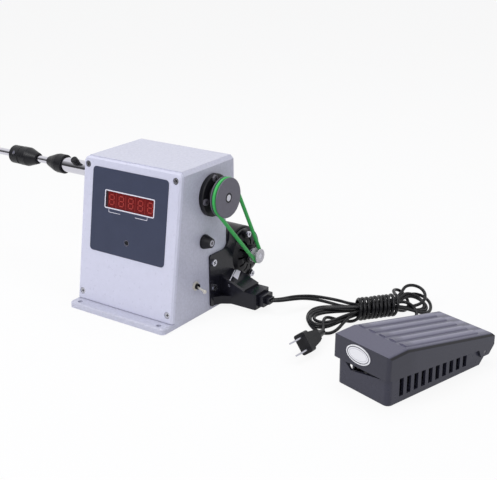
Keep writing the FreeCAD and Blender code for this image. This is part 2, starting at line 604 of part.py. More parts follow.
def make_spindle():
    bearing_flange("right_bearing_flange", WALL_X, None, 1)
    bearing_flange("left_bearing_flange", f"-{WALL_X}", Rotation(Vector(0, 0, 1), 180), -1)
    screws = []
    for side, turn in (("", ALONG_X), ("-", ALONG_MINUS_X)):
        for index, spot in enumerate(flange_screw_places()):
            screws.append(screw(f"flange_screw_{index}", (f"{side}({WALL_X} + flange_thick)", *spot),
                                turn, "flange_head_dia", "flange_head_height",
                                "(cover_screw_dia - 0.1)", "flange_thick + wall_thick"))
    group("flange_screws", screws)

    races = []
    inset = "flange_thick - bearing_width / 2 - bearing_width"
    for side in (1, -1):
        low = f"{WALL_X} + {inset}" if side > 0 else f"-({WALL_X} + {inset} + bearing_width)"
        outer = cylinder("bearing_outer", "bearing_dia / 2 - running_gap / 2", "bearing_width",
                         (low, *SPINDLE), ALONG_X)
        bore = cylinder("bearing_bore", "shaft_dia / 2 + running_gap", "bearing_width * 2",
                        (f"{low} - bearing_width / 2", *SPINDLE), ALONG_X)
        races.append(cut_from("bearing_ring", outer, bore))
    group("spindle_bearings", races)

    left = f"-({WALL_X} + flange_thick + hub_proud + seat_gap)"
    right = f"({WALL_X} + flange_thick + hub_proud + seat_gap)"
    turned("spindle_shaft", [
        (left, "0"), (left, "shaft_dia / 2"), (right, "shaft_dia / 2"),
        (right, "shaft_nose_dia / 2"), (f"{SHAFT_RIGHT} - 0.6", "shaft_nose_dia / 2"),
        (f"{SHAFT_RIGHT}", "shaft_nose_dia / 2 - 0.6"), (SHAFT_RIGHT, "0")], ("0", *SPINDLE))

    mouth = f"-{CHUCK_END}"
    rod = "rod_dia / 2 + running_gap"
    sleeve = turned("chuck_sleeve", [
        (left, "0"), (left, "chuck_dia / 2 - 0.8"), (f"{left} - 0.8", "chuck_dia / 2"),
        (f"{mouth} + 0.5", "chuck_dia / 2"), (mouth, "chuck_dia / 2 - 0.5"), (mouth, rod),
        (f"-({ROD_ROOT} - seat_gap)", rod), (f"-({ROD_ROOT} - seat_gap)", "0")], ("0", *SPINDLE))
    tap = new_sketch(sleeve, "XY_Plane")
    circle(tap, f"-{THUMB_X}", "0", "thumb_shank_dia / 2 + running_gap")
    cut(sleeve, tap, reverse=True)
    lean = Rotation(Vector(1, 0, 0), number("thumb_lean"))
    place(sleeve, ("0", *SPINDLE), lean)

    outer = "chuck_dia / 2 + seat_gap"
    thumb = turned("chuck_thumb_screw", [
        ("rod_dia / 2 + seat_gap", "0"), ("rod_dia / 2 + seat_gap", "thumb_shank_dia / 2"),
        (outer, "thumb_shank_dia / 2"), (outer, "thumb_dia / 2"),
        (f"{outer} + thumb_height - 0.8", "thumb_dia / 2"),
        (f"{outer} + thumb_height", "thumb_dia / 2 - 0.8"),
        (f"{outer} + thumb_height", "0")], (f"-{THUMB_X}", *SPINDLE), lean.multiply(UPRIGHT))
    flutes = new_sketch(thumb, "YZ_Plane", ("0", "0", outer))
    for index in range(8):
        spot = around(("0", "0"), "thumb_dia + 0.8", 45 * index)
        circle(flutes, *spot, "0.9")
    cut(thumb, flutes, "thumb_height * 2", both_ways=True)


def make_mandrel():
    end, shoulder = f"-{ROD_END}", f"-({ROD_END} - rod_tail_length)"
    turned("mandrel_rod", [
        (f"-{ROD_ROOT}", "0"), (f"-{ROD_ROOT}", "rod_dia / 2"), (shoulder, "rod_dia / 2"),
        (shoulder, "rod_tail_dia / 2"), (f"{end} + rod_tail_bevel", "rod_tail_dia / 2"),
        (end, "rod_tail_dia / 2 - rod_tail_bevel"), (end, "0")], ("0", *SPINDLE))

    bore = "rod_dia / 2 + running_gap"
    socket = "chuck_dia / 2 + seat_gap"
    wide = "cone_wide_dia / 2"
    turned("inner_cone", [
        (f"-{INNER_WIDE}", socket), (f"-{INNER_WIDE}", f"{wide} - 0.5"),
        (f"-({INNER_WIDE} + 0.5)", wide), (f"-({INNER_STEP} - 4)", wide),
        (f"-{INNER_STEP}", f"{wide} - 0.8"), (f"-({INNER_TIP} - 1)", "cone_tip_dia / 2 + 0.6"),
        (f"-{INNER_TIP}", "cone_tip_dia / 2"), (f"-{INNER_TIP}", bore),
        (f"-({CHUCK_END} + seat_gap)", bore), (f"-({CHUCK_END} + seat_gap)", socket)],
        ("0", *SPINDLE))

    bush = "outer_tip_dia / 2 - 1.6"
    turned("outer_cone", [
        (f"-{OUTER_TIP}", bush), (f"-{OUTER_TIP}", "outer_tip_dia / 2"), (f"-{OUTER_STEP}", wide),
        (f"-({OUTER_WIDE} - 1.5)", wide), (f"-{OUTER_WIDE}", f"{wide} - 1.5"),
        (f"-{OUTER_WIDE}", bush)], ("0", *SPINDLE))
    turned("outer_cone_bush", [
        (f"-({OUTER_TIP} + 0.6)", bore), (f"-({OUTER_TIP} + 0.6)", f"{bush} - running_gap"),
        (f"-{OUTER_WIDE}", f"{bush} - running_gap"), (f"-{OUTER_WIDE}", bore)], ("0", *SPINDLE))

    far = f"({OUTER_WIDE} + collar_length)"
    edge = "collar_dia / 2"
    collar = turned("lock_collar", [
        (f"-{OUTER_WIDE}", bore), (f"-{OUTER_WIDE}", f"{edge} - 1.4"),
        (f"-({OUTER_WIDE} + 1.4)", edge), (f"-({far} - 2.5)", edge),
        (f"-{far}", f"{edge} - 2.5"), (f"-{far}", bore)], ("0", *SPINDLE))
    middle = f"-({OUTER_WIDE} + collar_length * 0.42)"
    tap = new_sketch(collar, "XY_Plane")
    circle(tap, middle, "0", "set_screw_dia / 2")
    cut(collar, tap, reverse=True)
    lean = Rotation(Vector(1, 0, 0), number("collar_lean"))
    place(collar, ("0", *SPINDLE), lean)
    root, thread = "rod_dia / 2 + seat_gap / 2", "set_screw_dia / 2 - 0.05"
    turned("collar_set_screw", [
        (root, "0"), (root, thread), (f"{edge} - 0.6", thread), (f"{edge} - 0.6", "1.4"),
        (f"{edge} - 2.6", "1.4"), (f"{edge} - 2.6", "0")],
        (middle, *SPINDLE), lean.multiply(UPRIGHT))


def make_pick_up():
    disc = turned("counter_disc", [
        ("0", "shaft_dia / 2 + running_gap"), ("0", "disc_dia / 2"), ("disc_thick", "disc_dia / 2"),
        ("disc_thick", "9"), ("disc_thick + 6", "9"), ("disc_thick + 6", "shaft_dia / 2 + running_gap")],
        ("disc_x", *SPINDLE))
    seats = new_sketch(disc, "YZ_Plane")
    for degrees in (0, 180):
        circle(seats, *around(("0", "0"), "disc_dia - 8", degrees), "magnet_dia / 2")
    cut(disc, seats, both_ways=True)

    foot = block("sensor_foot", ("10", "24", "4"),
                 ("disc_x - 12", "spindle_y - 12", "body_height - wall_thick * 1.5 - 4"))
    arm = block("sensor_arm", ("3", "12", "14"),
                ("disc_x - 7", "spindle_y - 6", "body_height - wall_thick * 1.5 - 18"))
    keep(fused("count_sensor", [foot, arm]), "count_sensor")


# ---------------------------------------------------------------- belt drive
def grooved_profile(rim_dia, belt_radius, width, hub_dia, hub_length, bore, relief):
    """Half section of a V-grooved pulley, axial sizes measured from the belt's plane."""
    floor = f"({belt_radius} - belt_dia / 2 - 0.5)"
    narrow = "(groove_half - 1.5)"
    return [(f"-({width} / 2 + {hub_length})", bore), (f"-({width} / 2 + {hub_length})", hub_dia),
            (f"-{width} / 2", hub_dia), (f"-{width} / 2", f"{rim_dia} / 2 - 0.4"),
            (f"-{width} / 2 + 0.4", f"{rim_dia} / 2"), ("-groove_half", f"{rim_dia} / 2"),
            (f"-{narrow}", floor), (narrow, floor), ("groove_half", f"{rim_dia} / 2"),
            (f"{width} / 2 - 0.4", f"{rim_dia} / 2"), (f"{width} / 2", f"{rim_dia} / 2 - 0.4"),
            (f"{width} / 2", f"{bore} + {relief}"), (f"{width} / 2 - {relief}", bore)]


def make_belt_drive():
    hub_length = "(belt_reach - pulley_width / 2 - (flange_thick + hub_proud + seat_gap))"
    turned("spindle_pulley",
           grooved_profile("pulley_dia", "big_belt_radius", "pulley_width", "pulley_hub_dia / 2",
                           hub_length, "(shaft_nose_dia / 2 + 0.02)", "1.4"),
           (BELT_X, *SPINDLE))
    turned("motor_pulley",
           grooved_profile("motor_pulley_dia", "small_belt_radius", "pulley_width",
                           "motor_pulley_hub_dia / 2", "2", "(motor_shaft_dia / 2 + 0.02)", "0.5"),
           (BELT_X, *MOTOR))

    body = new_body("drive_belt")
    path = new_sketch(body, "YZ_Plane", ("0", "0", BELT_X))
    big = Vector(number("spindle_y"), number(SPINDLE_Z), 0)
    small = Vector(number(MOTOR_Y), number("motor_z"), 0)
    big_radius, small_radius = number("big_belt_radius"), number("small_belt_radius")
    line = small - big
    swing = math.acos((big_radius - small_radius) / line.Length)
    heading = math.atan2(line.y, line.x)
    right_angle, left_angle = heading + swing, heading - swing + 2 * math.pi
    top = math.pi / 2
    axis = Vector(0, 0, 1)

    def rim(centre, radius, angle):
        return centre + Vector(math.cos(angle), math.sin(angle), 0) * radius

    arc_one = path.addGeometry(
        Part.ArcOfCircle(Part.Circle(big, axis, big_radius), top, left_angle))
    down = path.addGeometry(
        Part.LineSegment(rim(big, big_radius, left_angle), rim(small, small_radius, left_angle)))
    arc_small = path.addGeometry(
        Part.ArcOfCircle(Part.Circle(small, axis, small_radius), left_angle,
                         right_angle + 2 * math.pi))
    up = path.addGeometry(
        Part.LineSegment(rim(small, small_radius, right_angle), rim(big, big_radius, right_angle)))
    arc_two = path.addGeometry(
        Part.ArcOfCircle(Part.Circle(big, axis, big_radius), right_angle, top))
    for first, second in ((arc_one, down), (down, arc_small), (arc_small, up), (up, arc_two)):
        path.addConstraint(Sketcher.Constraint("Tangent", first, 2, second, 1))
    path.addConstraint(Sketcher.Constraint("Coincident", arc_two, 2, arc_one, 1))
    path.addConstraint(Sketcher.Constraint("Coincident", arc_two, 3, arc_one, 3))
    path.addConstraint(Sketcher.Constraint("Vertical", arc_one, 1, arc_one, 3))
    for arc, radius in ((arc_one, "big_belt_radius"), (arc_small, "small_belt_radius")):
        index = path.addConstraint(Sketcher.Constraint("Radius", arc, number(radius)))
        path.setExpression(f"Constraints[{index}]", bound(radius))
    fix_point(path, arc_one, 3, *SPINDLE)
    fix_point(path, arc_small, 3, *MOTOR)

    section = new_sketch(body, "XZ_Plane", ("0", "0", "-spindle_y"))
    circle(section, BELT_X, f"{SPINDLE_Z} + big_belt_radius", "belt_dia / 2")
    doc.recompute()
    pipe = body.newObject("PartDesign::AdditivePipe", "belt_sweep")
    pipe.Profile = section
    pipe.Spine = path
    doc.recompute()
    keep(body, "drive_belt")


# ---------------------------------------------------------------- controls
def make_controls():
    skirt = f"{WALL_X} + seat_gap"
    knob = turned("speed_knob", [
        ("0", "pot_shaft_dia / 2 + running_gap"), ("0", "knob_dia / 2"), ("1.2", "knob_dia / 2"),
        ("knob_length - 2.5", "knob_top_dia / 2 + 0.6"), ("knob_length - 0.6", "knob_top_dia / 2"),
        ("knob_length", "knob_top_dia / 2 - 0.6"), ("knob_length", "knob_top_dia / 2 - 1.2"),
        ("knob_length - 1.2", "knob_top_dia / 2 - 1.2"), ("knob_length - 1.2", "0"),
        ("knob_length - 2.4", "0"), ("knob_length - 2.4", "pot_shaft_dia / 2 + running_gap")],
        (skirt, "knob_y", "knob_z"))
    grips = new_sketch(knob, "YZ_Plane", ("0", "0", "1.4"))
    for index in range(16):
        circle(grips, *around(("0", "0"), "knob_dia + 0.6", 22.5 * index), "0.8")
    cut(knob, grips, "knob_length", reverse=True)
    turned("knob_cap", [
        ("0", "0"), ("0", "knob_top_dia / 2 - 1.25"), ("0.9", "knob_top_dia / 2 - 1.25"),
        ("1.2", "knob_top_dia / 2 - 1.6"), ("1.2", "0")],
        (f"{skirt} + knob_length - 1.2", "knob_y", "knob_z"))

    inner = f"{WALL_X} - wall_thick"
    case = cylinder("pot_case", "pot_dia / 2", "pot_depth",
                    (f"{inner} - pot_depth", "knob_y", "knob_z"), ALONG_X)
    stem = cylinder("pot_stem", "pot_shaft_dia / 2 - 0.02", "wall_thick + knob_length - 3",
                    (inner, "knob_y", "knob_z"), ALONG_X)
    lugs = block("pot_lugs", ("1.2", "12", "8"),
                 (f"{inner} - pot_depth / 2", "knob_y - 6", "knob_z - pot_dia / 2 - 6"))
    keep(fused("potentiometer", [case, stem, lugs]), "potentiometer")

    box = block("switch_box", ("12", "8", "13"),
                (f"{inner} - 12", "switch_y - 4", "switch_z - 6.5"))
    bush = cylinder("switch_bush", "switch_bush_dia / 2", "wall_thick + 4.6",
                    (inner, "switch_y", "switch_z"), ALONG_X)
    mouth = cylinder("switch_mouth", "switch_bush_dia / 2 - 0.7", "wall_thick + 6",
                     (inner, "switch_y", "switch_z"), ALONG_X)
    tails = [block("switch_tail", ("4", "3", "0.8"),
                   (f"{inner} - 16", "switch_y - 1.5", f"switch_z - 0.4 + ({offset})"))
             for offset in (-4.5, 0, 4.5)]
    shell = cut_from("switch_shell", fused("switch_core", [box, bush] + tails), mouth)
    keep(shell, "toggle_switch")

    nut = new_body("toggle_nut")
    hexagon = new_sketch(nut, "YZ_Plane")
    corner = "switch_nut_across / 2 / cos(30)"
    polygon(hexagon, [(f"{corner} * cos({60 * index + 10})", f"{corner} * sin({60 * index + 10})")
                      for index in range(6)])
    circle(hexagon, "0", "0", "switch_bush_dia / 2 + running_gap")
    pad(nut, hexagon, "switch_nut_thick")
    place(nut, (WALL_X, "switch_y", "switch_z"))
    keep(nut, "toggle_nut")

    ball = "lever_ball_dia / 2"
    turned("toggle_lever", [
        ("0", "0"), ("0.3", "lever_root_dia / 2"), ("3", "lever_root_dia / 2"),
        (f"lever_length - {ball} * 0.9", f"{ball} * 0.6"),
        (f"lever_length - {ball} * 0.4", f"{ball} * 0.92"), ("lever_length", ball),
        (f"lever_length + {ball} * 0.6", f"{ball} * 0.8"), (f"lever_length + {ball} * 0.95", "0.7"),
        (f"lever_length + {ball}", "0")], (f"{WALL_X} + 1.5", "switch_y", "switch_z"),
        Rotation(Vector(0, 1, 0), number("lever_droop")))


# ---------------------------------------------------------------- motor
def cap_screw_places(centre):
    return [around(centre, "cap_screw_circle", f"(cap_screw_turn + {degrees})")
            for degrees in (0, 180)]


def make_motor():
    along_x = Vector(1, 0, 0)
    drum = f"({DRUM_END} + casing_back)"
    casing = turned("motor_casing", [
        ("-casing_back", "motor_bearing_dia / 2"), ("-casing_back", "casing_radius - 4"),
        ("-casing_back + 4", "casing_radius"), (f"{DRUM_END} - 1", "casing_radius"),
        (DRUM_END, "casing_radius - 1"), (DRUM_END, "casing_radius - casing_wall"),
        ("-casing_back + casing_wall * 2", "casing_radius - casing_wall"),
        ("-casing_back + casing_wall * 2", "motor_bearing_dia / 2")], ("0", *MOTOR))
    vents = new_sketch(casing, "YZ_Plane", ("0", "0", "-casing_back"))
    for index in range(8):
        circle(vents, *around(("0", "0"), "casing_radius * 1.3", 45 * index + 22.5), "3")
    cut(casing, vents, "casing_wall * 3", reverse=True)

    bracket = new_body("motor_bracket")
    lug = new_sketch(bracket, "YZ_Plane", ("0", "0", WALL_X))
    beside = f"({MOTOR_Y} - bracket_ring)"
    polygon(lug, [("bracket_front", "bracket_foot"), ("bracket_front", "bracket_shoulder"),
                  (f"{beside} - 11", "bracket_shoulder"), (f"{beside} - 3.5", "bracket_shoulder + 8"),
                  (f"{beside} - 3", "bracket_horn"), (f"{beside} + 7", "bracket_horn - 4"),
                  (f"{beside} + 12", "motor_z"), (f"{beside} + 12", "bracket_foot")])
    pad(bracket, lug, "bracket_thick")
    front, ring_side = number("bracket_front"), number(beside)
    round_edges(bracket, "2.5", lambda edge: runs_along(edge, along_x)
                and abs(edge.CenterOfMass.y - front) < 0.1)
    round_edges(bracket, "7", lambda edge: runs_along(edge, along_x)
                and ring_side - 12 < edge.CenterOfMass.y < ring_side - 3.2
                and edge.CenterOfMass.z < number("bracket_horn") - 1)
    bores = new_sketch(bracket, "YZ_Plane", ("0", "0", WALL_X))
    circle(bores, *MOTOR, "cap_radius + seat_gap")
    for height in ("bracket_screw_low", "bracket_screw_high"):
        circle(bores, "bracket_screw_y", height, "cover_screw_dia / 2")
    cut(bracket, bores, reverse=True)
    ring = new_sketch(bracket, "YZ_Plane", ("0", "0", DRUM_END))
    circle(ring, *MOTOR, "bracket_ring")
    pad(bracket, ring, "casing_setback")
    opening = new_sketch(bracket, "YZ_Plane", ("0", "0", WALL_X))
    circle(opening, *MOTOR, "cap_radius - casing_wall - 1")
    for spot in cap_screw_places(MOTOR):
        circle(opening, *spot, "cap_screw_dia / 2")
    cut(bracket, opening, "casing_setback")
    keep(bracket, "motor_bracket")
    screws = [screw(f"bracket_screw_{index}", (BRACKET_X, "bracket_screw_y", height), ALONG_X,
                    "bracket_head_dia", "2.4", "(cover_screw_dia - 0.1)",
                    "bracket_thick + wall_thick")
              for index, height in enumerate(("bracket_screw_low", "bracket_screw_high"))]
    group("bracket_screws", screws)

    cap = turned("motor_end_cap", [
        ("0", "cap_radius - casing_wall"), ("0", "cap_radius"), ("1.5", "cap_radius"),
        ("cap_height - 3", "(cap_radius + cap_crown) / 2 + 1"), ("cap_height", "cap_crown"),
        ("cap_height", "motor_bearing_dia / 2 + 3"), ("cap_height + 2.2", "motor_bearing_dia / 2 + 3"),
        ("cap_height + 2.2", "motor_bearing_dia / 2"), ("1", "motor_bearing_dia / 2"),
        ("1", "motor_bearing_dia / 2 + 3"), ("cap_height - 2.5", "motor_bearing_dia / 2 + 3"),
        ("cap_height - 2.5", "cap_crown - 2")], (WALL_X, *MOTOR))
    ears = new_sketch(cap, "YZ_Plane")
    for spot in cap_screw_places(("0", "0")):
        circle(ears, *spot, "cap_head_dia / 2 + 1.2")
    pad(cap, ears, "cap_ear_height")
    bores = new_sketch(cap, "YZ_Plane")
    for spot in cap_screw_places(("0", "0")):
        circle(bores, *spot, "cap_screw_dia / 2 + 0.1")
    cut(cap, bores, both_ways=True)
    vent = new_sketch(cap, "YZ_Plane")
    rectangle(vent, ("motor_bearing_dia / 2 + 4.5", "-cap_vent_width / 2"),
              ("cap_radius - casing_wall - 2", "cap_vent_width / 2"))
    slot = cut(cap, vent, both_ways=True)
    ring = cap.newObject("PartDesign::PolarPattern", "cap_vents")
    ring.Originals = [slot]
    ring.Axis = (origin_item(cap, "X_Axis"), [""])
    ring.Angle = 360
    bind(ring, "Occurrences", "cap_vent_count")
    cap.Tip = ring
    doc.recompute()

    screws = [screw(f"motor_screw_{index}", (f"{WALL_X} + cap_ear_height", *spot), ALONG_X,
                    "cap_head_dia", "2.8", "(cap_screw_dia - 0.1)",
                    "cap_ear_height + casing_setback - 0.5")
              for index, spot in enumerate(cap_screw_places(MOTOR))]
    group("motor_cap_screws", screws)

    races = []
    for start, length in ((f"({WALL_X} + 1)", "(cap_height + 1)"),
                          ("-casing_back", "(casing_wall * 2)")):
        outer = cylinder("motor_bush", "motor_bearing_dia / 2 - running_gap / 2", length,
                         (start, *MOTOR), ALONG_X)
        bore = cylinder("motor_bush_bore", "motor_shaft_dia / 2 + running_gap", f"{length} * 2",
                        (f"{start} - {length} / 2", *MOTOR), ALONG_X)
        races.append(cut_from("motor_bush_ring", outer, bore))
    group("motor_bearings", races)

    middle = f"(({drum}) / 2 - casing_back)"
    ring_outer = cylinder("stator_stack", "casing_radius - casing_wall - running_gap",
                          "armature_length", (f"{middle} - armature_length / 2", *MOTOR), ALONG_X)
    ring_bore = cylinder("stator_bore", "armature_dia / 2 + 0.6", "armature_length * 2",
                         (f"{middle} - armature_length", *MOTOR), ALONG_X)
    keep(cut_from("motor_stator", ring_outer, ring_bore), "motor_stator")
    stack, spin, brushes = "armature_dia / 2", "motor_shaft_dia / 2", "commutator_dia / 2"
    left, right = f"{middle} - armature_length / 2", f"{middle} + armature_length / 2"
    shaft_end = f"{BELT_X} + pulley_width / 2 - seat_gap"
    turned("motor_armature", [
        ("-casing_back + 1", "0"), ("-casing_back + 1", spin), (left, spin), (left, stack),
        (right, stack), (right, brushes), (f"{right} + commutator_length", brushes),
        (f"{right} + commutator_length", spin), (shaft_end, spin), (shaft_end, "0")],
        ("0", *MOTOR))


def make_terminal_box():
    body = new_body("terminal_box")
    beside_cap = f"({MOTOR_Y} - cap_radius - 1.5)"
    clear_x = f"({CAP_X} + seat_gap)"
    step, root = f"({WALL_X} + nose_step_reach)", f"({WALL_X} + nose_root_reach)"
    fall = f"(nose_root_top - nose_step_top) / ({step} - {BRACKET_X})"
    # The nose, seen from the front, stretched from its front face to its back face.
    nose = new_sketch(body, "XZ_Plane", ("0", "0", "-nose_back"))
    polygon(nose, [
        (clear_x, "nose_foot"), (clear_x, f"nose_root_top - ({clear_x} - {BRACKET_X}) * {fall}"),
        (step, "nose_step_top"), (step, "nose_top"), (NOSE_END, "nose_top"),
        (NOSE_END, "nose_foot")])
    pad(body, nose, "nose_back - nose_front")
    end = number(NOSE_END)
    along_z = Vector(0, 0, 1)
    round_edges(body, "2", lambda edge: runs_along(edge, along_z)
                and edge.CenterOfMass.x > end - 1)
    # Its foot against the bracket, beside the motor's cap.
    heel = new_sketch(body, "XZ_Plane", ("0", "0", f"-{beside_cap}"))
    polygon(heel, [
        (BRACKET_X, "nose_foot"), (BRACKET_X, "nose_root_top"),
        (clear_x, f"nose_root_top - ({clear_x} - {BRACKET_X}) * {fall}"), (clear_x, "nose_foot")])
    pad(body, heel, f"{beside_cap} - nose_front")
    front, ledge = number("nose_front"), number("nose_step_top")
    bevel_edges(body, "nose_bevel", lambda edge: abs(edge.CenterOfMass.y - front) < 0.1
                and edge.CenterOfMass.z > ledge)
    flare = new_sketch(body, "XY_Plane", ("0", "0", "nose_foot"))
    polygon(flare, [
        (BRACKET_X, "nose_root_front"), (f"{BRACKET_X} + 5.5", "nose_root_front + 7.5"),
        (root, "nose_front"), (root, "nose_front + 4"), (BRACKET_X, "nose_front + 4")])
    pad(body, flare, "flare_height")
    mouth = new_sketch(body, "YZ_Plane", ("0", "0", NOSE_END))
    rectangle(mouth, ("socket_y - socket_width / 2", "socket_z - socket_height / 2"),
              ("socket_y + socket_width / 2", "socket_z + socket_height / 2"))
    cut(body, mouth, "socket_depth")
    keep(body, "terminal_box")

    pins = [cylinder("socket_pin", "pin_dia / 2", "pin_length",
                     (f"{NOSE_END} - socket_depth", f"socket_y + ({offset})", "socket_z"), ALONG_X)
            for offset in (-6, 0, 6)]
    group("socket_pins", pins)

    plug = new_body("cord_connector")
    face = new_sketch(plug, "YZ_Plane")
    rectangle(face, ("-socket_width / 2 + seat_gap", "-socket_height / 2 + seat_gap"),
              ("socket_width / 2 - seat_gap", "socket_height / 2 - seat_gap"))
    pad(plug, face, "socket_depth - seat_gap + connector_proud")
    along_x = Vector(1, 0, 0)
    round_edges(plug, "1.5", lambda edge: runs_along(edge, along_x))
    bores = new_sketch(plug, "YZ_Plane")
    for offset in (-6, 0, 6):
        circle(bores, str(offset), "0", "pin_dia / 2 + 0.15")
    cut(plug, bores, "pin_length + 1", reverse=True)
    neck = new_sketch(plug, "YZ_Plane", ("0", "0", "socket_depth - seat_gap + connector_proud"))
    rectangle(neck, ("-cord_dia - 1.6", "-cord_dia / 2 - 1.4"), ("cord_dia + 1.6", "cord_dia / 2 + 1.4"))
    pad(plug, neck, "5")
    place(plug, (f"{NOSE_END} - socket_depth + seat_gap", "socket_y", "socket_z"))
    keep(plug, "cord_connector")


# ---------------------------------------------------------------- foot pedal
def slope(start, finish, along):
    """Height at a place along a straight slope between two (along, height) points."""
    return (f"({start[1]} + ({finish[1]} - ({start[1]})) * ({along} - ({start[0]}))"
            f" / ({finish[0]} - ({start[0]})))")


def make_pedal_base():
    along_z = Vector(0, 0, 1)
    base = new_body("pedal_base")
    side = new_sketch(base, "YZ_Plane")
    polygon(side, [("0", "foot_height"), ("base_length", "foot_height"),
                   ("base_heel", "pin_z"), ("base_heel - 2", "base_heel_height"),
                   ("0", "base_toe_height")])
    pad(base, side, "base_width", both_ways=True)
    round_edges(base, "5", lambda edge: runs_along(edge, along_z) and edge.CenterOfMass.y < 1)
    hollow = new_sketch(base, "YZ_Plane")
    polygon(hollow, [("pedal_wall", "foot_height + pedal_wall"),
                     ("base_length - pedal_wall", "foot_height + pedal_wall"),
                     ("base_heel - pedal_wall * 1.6", "pin_z"),
                     ("base_heel - pedal_wall * 1.6", "base_toe_height + 5"),
                     ("pedal_wall", "base_toe_height + 5")])
    cut(base, hollow, "base_width - pedal_wall * 2", both_ways=True)
    notch = new_sketch(base, "XZ_Plane")
    polygon(notch, [("-base_width / 2 + 6", "base_toe_height + 1"),
                    ("-base_width / 2 + 17", "base_toe_height - 9"),
                    ("base_width / 2 - 9", "base_toe_height - 3"),
                    ("base_width / 2 - 9", "base_toe_height + 1")])
    cut(base, notch, "pedal_wall * 2", both_ways=True)
    vent = new_sketch(base, "YZ_Plane")
    for index in range(int(number("vent_count"))):
        low = f"vent_start + {index} * vent_pitch - vent_width / 2"
        ceiling = slope(("0", "base_toe_height - 2"), ("base_heel", "base_heel_height - 2"), low)
        rectangle(vent, (low, "vent_foot"), (f"{low} + vent_width", ceiling))
    cut(base, vent, both_ways=True)
    bearing = new_sketch(base, "YZ_Plane")
    circle(bearing, "pin_y", "pin_z", "hinge_pin_dia / 2")
    cut(base, bearing, both_ways=True)
    cord_hole = new_sketch(base, "YZ_Plane", ("0", "0", "-base_width / 2"))
    circle(cord_hole, "pedal_gland_y", "foot_height + 7", "gland_dia / 2 - 1")
    cut(base, cord_hole, "pedal_wall", reverse=True)
    place(base, on_pedal("0", "0", "0"), PEDAL_TURN)
    keep(base, "pedal_base")

    feet = []
    for across in ("-base_width / 2 + 10", "base_width / 2 - 10"):
        for along in ("11", "base_length - 14"):
            feet.append(cylinder("pedal_foot", "foot_dia / 2", "foot_height",
                                 on_pedal(across, along, "0")))
    group("pedal_feet", feet)

    pin = cylinder("pedal_hinge_pin", "hinge_pin_dia / 2 - running_gap", "tread_width - 0.6",
                   on_pedal("-tread_width / 2 + 0.3", "pin_y", "pin_z"),
                   PEDAL_TURN.multiply(ALONG_X))
    keep(pin, "pedal_hinge_pin")


def make_pedal_tread():
    tread = new_body("pedal_tread")
    toe, heel = "-tread_toe", "tread_heel"
    ear_foot = "pin_z - 4"
    side = new_sketch(tread, "YZ_Plane")
    polygon(side, [(toe, "skirt_toe"), (f"{toe} + 0.6", "tread_toe_top"),
                   ("tread_crease_y", "tread_crease_z"), ("tread_heel - 3", "tread_heel_top"),
                   (heel, "tread_heel_top - 3"), (heel, "tread_heel_low"),
                   ("pin_y + 6", ear_foot), ("pin_y - 5", ear_foot),
                   ("pin_y - 9", slope((toe, "skirt_toe"), ("pin_y", "skirt_heel"),
                                       "(pin_y - 9)"))])
    pad(tread, side, "tread_width", both_ways=True)
    reach, front = number("tread_width / 2"), number(toe)
    crest = number("tread_heel_top - 4")

    def upper_side_edge(edge):
        middle = edge.CenterOfMass
        return abs(abs(middle.x) - reach) < 0.1 and middle.z > crest and middle.y > front + 1 \
            and abs(edge.tangentAt(edge.FirstParameter).y) > 0.9

    def toe_corner(edge):
        middle = edge.CenterOfMass
        return abs(abs(middle.x) - reach) < 0.1 and middle.y < front + 0.7 \
            and abs(edge.tangentAt(edge.FirstParameter).z) > 0.9

    round_edges(tread, "tread_round", lambda edge: upper_side_edge(edge) or toe_corner(edge))
    hollow = new_sketch(tread, "YZ_Plane")
    polygon(hollow, [(f"{toe} + tread_wall", "0"),
                     (f"{toe} + tread_wall", "tread_toe_top - tread_wall * 1.3"),
                     ("tread_crease_y", "tread_crease_z - tread_wall"),
                     ("tread_heel - 3 - tread_wall", "tread_heel_top - tread_wall"),
                     ("tread_heel - tread_wall", "tread_heel_top - 5 - tread_wall"),
                     ("tread_heel - tread_wall", "0")])
    cut(tread, hollow, "tread_width - tread_wall * 2", both_ways=True)

    fall = math.degrees(math.atan2(number("tread_crease_z - tread_heel_top"),
                                   number("tread_heel - 3 - tread_crease_y")))
    rib_front = "(tread_crease_y + rib_start)"
    rib_seat = slope(("tread_crease_y", "tread_crease_z"), ("(tread_heel - 3)", "tread_heel_top"),
                     rib_front)
    ribs = new_sketch(tread, "XZ_Plane", ("0", rib_seat, f"-{rib_front}"),
                      Rotation(Vector(1, 0, 0), -fall))
    profile = ((-0.5, "-0.2"), (0.5, "-0.2"), (0.36, "rib_height * 0.7"), (0.12, "rib_height"),
               (-0.12, "rib_height"), (-0.36, "rib_height * 0.7"))
    count = int(number("rib_count"))
    for index in range(count):
        middle = f"({index - (count - 1) / 2}) * rib_pitch"
        polygon(ribs, [(f"{middle} + ({share}) * rib_width", height) for share, height in profile])
    pad(tread, ribs, "rib_length", reverse=True)
    pin_hole = new_sketch(tread, "YZ_Plane")
    circle(pin_hole, "pin_y", "pin_z", "hinge_pin_dia / 2")
    cut(tread, pin_hole, both_ways=True)
    place(tread, on_pedal("0", "0", "0"), PEDAL_TURN)
    keep(tread, "pedal_tread")

    badge = new_body("pedal_badge")
    oval = new_sketch(badge, "XZ_Plane")
    oval.addGeometry(Part.Ellipse(Vector(0, 0, 0), number("badge_length / 2"),
                                  number("badge_height / 2")))
    pad(badge, oval, "badge_thick")
    lean = math.degrees(math.atan2(0.6, number("tread_toe_top - skirt_toe")))
    face = f"({toe} + 0.6 * (badge_z - skirt_toe) / (tread_toe_top - skirt_toe))"
    place(badge, on_pedal("-badge_x", face, "badge_z"),
          PEDAL_TURN.multiply(Rotation(Vector(-1, 0, 0), lean)))
    keep(badge, "pedal_badge")


